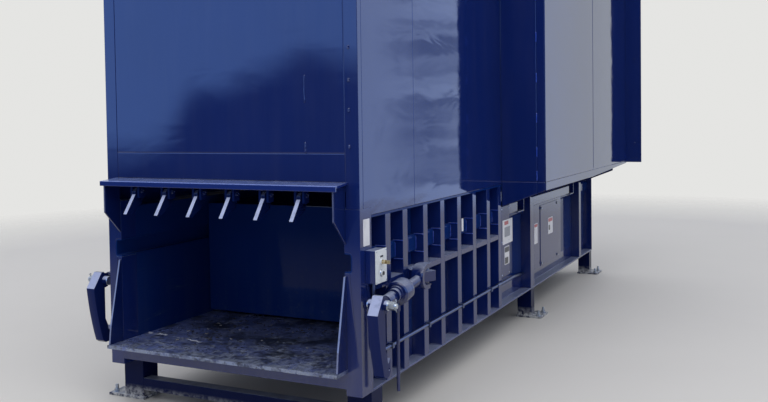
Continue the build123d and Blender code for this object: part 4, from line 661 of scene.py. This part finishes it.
class COMPACTOR_OT_fasteners(Operator):
    """Set the screws of the covers, the heads of the wall anchors, and the clips and cotters of the pins"""
    bl_idname = "compactor.fasteners"
    bl_label = "Fasteners"

    def execute(self, context):
        steel = bright_metal("zinc_plated_screw", "#B9BDC2", "#83888E", 0.3, 200.0)
        mesh = bmesh.new()
        inset = 0.009
        for y in (COVER_LOW.y + inset, COVER_HIGH.y - inset):
            for z in (COVER_LOW.z + inset, COVER_HIGH.z - inset):
                drum(mesh, (COVER_FACE_X + 0.001, y, z), (1, 0, 0), 0.0042, 0.003, 16, 0.003)
                bar(mesh, (COVER_FACE_X + 0.0024, y, z), (0.0006, 0.006, 0.001))
        finish_mesh("switch_cover_screws", mesh, steel, "frame")
        mesh = bmesh.new()
        low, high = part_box("junction_box")
        for y in (low.y + 0.015, high.y - 0.015):
            for z in (low.z + 0.02, (low.z + high.z) / 2, high.z - 0.02):
                drum(mesh, (high.x + 0.0015, y, z), (1, 0, 0), 0.006, 0.003, 16, 0.0045)
        finish_mesh("junction_box_screws", mesh, steel, "frame")
        # Painted heads of the anchors that hold the flange to the wall
        painted = gloss_enamel("gloss_enamel_on_anchor_heads", context.scene.compactor_paint.plate_ripple)
        mesh = bmesh.new()
        for height in WALL_ANCHOR_HEIGHTS:
            for side in (1, -1):
                centre = (side * WALL_ANCHOR_X, FLANGE_Y - 0.003, height)
                drum(mesh, centre, (0, 1, 0), 0.015, 0.008, 6, bevel=0.001)
        finish_mesh("wall_anchor_heads", mesh, painted, "frame")
        # Clip washers that keep the tooth pins in their lugs
        mesh = bmesh.new()
        hang_low, hang_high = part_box("tooth_hangers")
        y = (hang_low.y + hang_high.y) / 2
        for index in range(TEETH):
            low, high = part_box(f"tooth_{index + 1}")
            x = (low.x + high.x) / 2 + LUG_OUTER + 0.0015
            drum(mesh, (x, y, TOOTH_PIN_Z), (1, 0, 0), 0.014, 0.003, 20, bevel=0.0006)
            ring(mesh, (x + 0.004, y, TOOTH_PIN_Z), (1, 0, 0), 0.009, 0.0018)
        finish_mesh("tooth_pin_clips", mesh, painted, "frame")
        # Cotter pins through the ends of the claw pins
        for side, sign in (("right", 1), ("left", -1)):
            low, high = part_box(f"{side}_binder_claw")
            pin_end = high.x if sign > 0 else low.x
            x = pin_end - sign * 0.006
            y, z = back(CLAW_PIN[0]), CLAW_PIN[1] / 1000
            mesh = bmesh.new()
            drum(mesh, (x, y, z - 0.002), (0, 0, 1), 0.0022, 0.052, 10)
            ring(mesh, (x, y, z + 0.029), (1, 0, 0), 0.0055, 0.0018)
            drum(mesh, (x, y + 0.004, z - 0.029), (0, 0.6, -0.8), 0.0014, 0.012, 8)
            finish_mesh(f"{side}_claw_cotter", mesh, steel, f"{side}_claw")
        return {"FINISHED"}


class COMPACTOR_OT_switch_trim(Operator):
    """Add the ring round the push button and the bare legend slot above the key"""
    bl_idname = "compactor.switch_trim"
    bl_label = "Switch trim"

    def execute(self, context):
        dark = moulded("black_rubber_seal", "#1B1C1E", 0.6)
        steel = bright_metal("stainless_ring", "#C9CCD0", "#9EA2A8", 0.2, 200.0)
        low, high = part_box("push_button")
        button = (low + high) / 2
        mesh = bmesh.new()
        drum(mesh, (COVER_FACE_X + 0.002, button.y, button.z), (1, 0, 0), 0.020, 0.004, 28, 0.018)
        finish_mesh("button_ring", mesh, steel, "frame")
        mesh = bmesh.new()
        centre = (COVER_FACE_X + 0.0006, button.y + 0.003, button.z + 0.089)
        bar(mesh, centre, (0.0012, 0.034, 0.009), bevel=0.0005)
        finish_mesh("legend_slot", mesh, dark, "frame")
        return {"FINISHED"}


class COMPACTOR_OT_debris(Operator):
    """Scatter the crumbs and flakes that lie on the chamber floor"""
    bl_idname = "compactor.debris"
    bl_label = "Debris"

    def execute(self, context):
        luck = random.Random(21)
        pale = moulded("paper_and_film_scraps", "#7E7D7C", 0.7)
        dark = moulded("dry_grime_crumbs", "#2A2624", 0.85)
        heaps = (("floor_scraps", pale, 14, 0.008), ("floor_crumbs", dark, 150, 0.007))
        for name, material, count, size in heaps:
            mesh = bmesh.new()
            for _ in range(count):
                y = back(luck.triangular(20, 820, 700))
                x = luck.triangular(-0.67, 0.67, -0.35)
                made = bmesh.ops.create_icosphere(mesh, subdivisions=1, radius=1.0)
                scale = Vector((luck.uniform(0.5, 2.2), luck.uniform(0.4, 1.6), luck.uniform(0.15, 0.45)))
                scale *= size
                spin = Matrix.Rotation(luck.uniform(0, pi), 4, "Z")
                spot = Matrix.Translation((x, y, FLOOR_TOP + scale.z * 0.6))
                matrix = spot @ spin @ Matrix.Diagonal((*scale, 1))
                bmesh.ops.transform(mesh, matrix=matrix, verts=made["verts"])
            finish_mesh(name, mesh, material, "frame")
        return {"FINISHED"}


def surrounding_light(strength, front_gain, side_gain):
    """World light: plain and pale behind the machine, cooler to the right, and before the mouth a dark
    horizon that gives way to a blue sky."""
    world = bpy.data.worlds.new("soft_surroundings")
    bpy.context.scene.world = world
    world.use_nodes = True
    tree = world.node_tree
    tree.nodes.clear()
    way = add(tree, "TexCoord")["Generated"]
    parts = add(tree, "SeparateXYZ", way)
    # Angle from straight behind the machine, growing to the right, in radians
    around = add(tree, "Math", "ARCTAN2", parts["X"], parts["Y"])
    right = add(tree, "MapRange", around, 0.03, 0.16)
    far_right = add(tree, "MapRange", around, 0.22, 0.38)
    behind = add(tree, "Mix", right, linear("#EAEAE8"), linear("#DDE3E8"))
    behind = add(tree, "Mix", far_right, behind, linear("#AFC4F2"))
    # Uneven bands between 20 and 24 degrees right, which the waves of the side sheets bend into streaks
    bands = add(tree, "TexNoise", add(tree, "Mapping", way, (3.0, 3.0, 40.0)), 1.0, 3.0, 0.5)
    bands = add(tree, "MapRange", bands, 0.42, 0.6, 0.0, 0.7)
    strip = add(tree, "Math", "MULTIPLY", add(tree, "MapRange", around, 0.3, 0.37),
                add(tree, "MapRange", around, 0.46, 0.41))
    behind = add(tree, "Mix", add(tree, "Math", "MULTIPLY", bands, strip), behind, linear("#3E4E74"))
    front = add(tree, "MapRange", parts["Y"], 0.1, -0.5)
    horizon = add(tree, "Mix", front, behind, linear("#465470"))
    high = add(tree, "MapRange", parts["Z"], 0.12, 0.6)
    sky = add(tree, "Mix", high, horizon, linear("#E4ECFF"))
    # The dark horizon stands higher in two steps, the more it is straight before the mouth
    skyline = add(tree, "Math", "ADD", add(tree, "MapRange", parts["Y"], -0.765, -0.785, -0.035, 0.025),
                  add(tree, "MapRange", parts["Y"], -0.81, -0.85, 0.0, 0.035))
    skyline = add(tree, "Math", "ADD", skyline, add(tree, "MapRange", parts["Y"], -0.9, -0.95, 0.0, 0.2))
    ragged = add(tree, "MapRange", add(tree, "TexNoise", way, 9.0, 2.0), 0.3, 0.7, -0.015, 0.015)
    clear = add(tree, "Math", "SUBTRACT", add(tree, "Math", "ADD", parts["Z"], ragged), skyline)
    open_sky = add(tree, "Math", "MULTIPLY", front, add(tree, "MapRange", clear, -0.012, 0.03))
    fading = add(tree, "MapRange", parts["Z"], 0.35, 0.75, 1.0, 0.0)
    open_sky = add(tree, "Math", "MULTIPLY", open_sky, fading)
    backdrop = add(tree, "Background", sky, strength)
    blue = add(tree, "Background", linear("#86B0FF"), strength * front_gain)
    seen = add(tree, "MixShader", open_sky, backdrop, blue)
    cool = add(tree, "Background", sky, strength * side_gain)
    to_side = add(tree, "Math", "MULTIPLY", far_right, add(tree, "MapRange", front, 0.0, 0.5, 1.0, 0.0))
    seen = add(tree, "MixShader", to_side, seen, cool)
    # What is seen, directly or in gloss, is the backdrop. Matt surfaces are lit by a plain pale sky that
    # is brightest overhead
    overhead = add(tree, "MapRange", parts["Z"], -0.05, 0.7)
    overhead = add(tree, "Mix", overhead, linear("#8E98AC"), linear("#F6F8FF"))
    plain = add(tree, "Background", overhead, strength)
    path = add(tree, "LightPath")
    sharp = add(tree, "Math", "MAXIMUM", path["Is Camera Ray"],
                add(tree, "Math", "MAXIMUM", path["Is Glossy Ray"], path["Is Transmission Ray"]))
    mixed = add(tree, "MixShader", sharp, plain, seen)
    add(tree, "OutputWorld", mixed)


def softbox(name, place, aim, width, height, watts):
    """A rectangular lamp aimed at a point."""
    lamp = bpy.data.lights.new(name, "AREA")
    lamp.shape = "RECTANGLE"
    lamp.size = width
    lamp.size_y = height
    lamp.energy = watts
    holder = bpy.data.objects.new(name, lamp)
    bpy.context.scene.collection.objects.link(holder)
    holder.location = place
    holder.rotation_euler = (Vector(aim) - Vector(place)).to_track_quat("-Z", "Y").to_euler()


class COMPACTOR_OT_stage(Operator):
    """Lay the floor and set the lights and the camera"""
    bl_idname = "compactor.stage"
    bl_label = "Stage"

    def execute(self, context):
        values = context.scene.compactor_stage
        mesh = bmesh.new()
        bmesh.ops.create_grid(mesh, x_segments=1, y_segments=1, size=40.0)
        data = bpy.data.meshes.new("studio_floor")
        mesh.to_mesh(data)
        mesh.free()
        ground = bpy.data.objects.new("studio_floor", data)
        context.scene.collection.objects.link(ground)
        material, tree, shader, place = new_material("plain_floor_coating")
        pale = [c * 1.06 for c in values.floor[:3]] + [1.0]
        tone = add(tree, "Mix", add(tree, "TexNoise", place, 0.8), values.floor, pale)
        tree.links.new(tone, shader.inputs["Base Color"])
        shader.inputs["Roughness"].default_value = 0.7
        # The floor fades into the backdrop all round, as a studio cove does
        centred = add(tree, "Mapping", place, (1.0, 1.0, 1.0), (0.0, -1.5, 0.0))
        distance = add(tree, "VectorMath", "LENGTH", centred)
        near = add(tree, "MapRange", distance, 6.5, 11.0, 1.0, 0.0)
        tree.links.new(near, shader.inputs["Alpha"])
        ground.data.materials.append(material)

        surrounding_light(values.world, values.front_gain, values.side_gain)
        softbox("overhead_softbox", (1.5, FACE_Y - 1.5, 8.5), (0, FACE_Y + 1.5, 1.5), 9.0, 9.0, values.lamp)

        # The camera stands right of the mouth, at eye height, with its optical axis above the middle of
        # the picture
        eye = (2.926, back(-3969), 1.697)
        yaw, pitch, roll = radians(25.862), radians(1.968), radians(0.801)
        picture_width, middle_row, axis_row, focal_pixels = 768, 201.0, 149.06, 864.94
        view = bpy.data.cameras.new("viewpoint")
        view.sensor_width = 36.0
        view.lens = focal_pixels / picture_width * view.sensor_width
        view.shift_y = (axis_row - middle_row) / picture_width
        view.clip_end = 200.0
        holder = bpy.data.objects.new("viewpoint", view)
        context.scene.collection.objects.link(holder)
        turn = (Matrix.Rotation(yaw, 4, "Z") @ Matrix.Rotation(pi / 2 - pitch, 4, "X")
                @ Matrix.Rotation(-roll, 4, "Z"))
        holder.matrix_world = Matrix.Translation(eye) @ turn
        context.scene.camera = holder
        context.scene.view_settings.view_transform = "Standard"
        return {"FINISHED"}


OPERATORS = (
    COMPACTOR_OT_finishes, COMPACTOR_OT_labels, COMPACTOR_OT_weld_beads, COMPACTOR_OT_fasteners,
    COMPACTOR_OT_switch_trim, COMPACTOR_OT_debris, COMPACTOR_OT_stage,
)
GROUPS = {
    "compactor_paint": CompactorPaint, "compactor_labels": CompactorLabels,
    "compactor_welds": CompactorWelds, "compactor_stage": CompactorStage,
}


class COMPACTOR_PT_pieces(Panel):
    """Lists the steps that dress the compactor"""
    bl_idname = "COMPACTOR_PT_pieces"
    bl_label = "Compactor"
    bl_space_type = "VIEW_3D"
    bl_region_type = "UI"
    bl_category = "Compactor"

    def draw(self, context):
        for operator in OPERATORS:
            self.layout.operator(operator.bl_idname)


def register():
    """Add the classes and the values that they use."""
    for item in (*GROUPS.values(), *OPERATORS, COMPACTOR_PT_pieces):
        bpy.utils.register_class(item)
    for name, group in GROUPS.items():
        setattr(bpy.types.Scene, name, PointerProperty(type=group))


def unregister():
    """Take the values and the classes away again."""
    for name in GROUPS:
        delattr(bpy.types.Scene, name)
    for item in reversed((*GROUPS.values(), *OPERATORS, COMPACTOR_PT_pieces)):
        bpy.utils.unregister_class(item)


def main():
    """Dress the part and set the stage."""
    register()
    for operator in OPERATORS:
        family, verb = operator.bl_idname.split(".")
        getattr(getattr(bpy.ops, family), verb)()


if __name__ == "__main__":
    main()
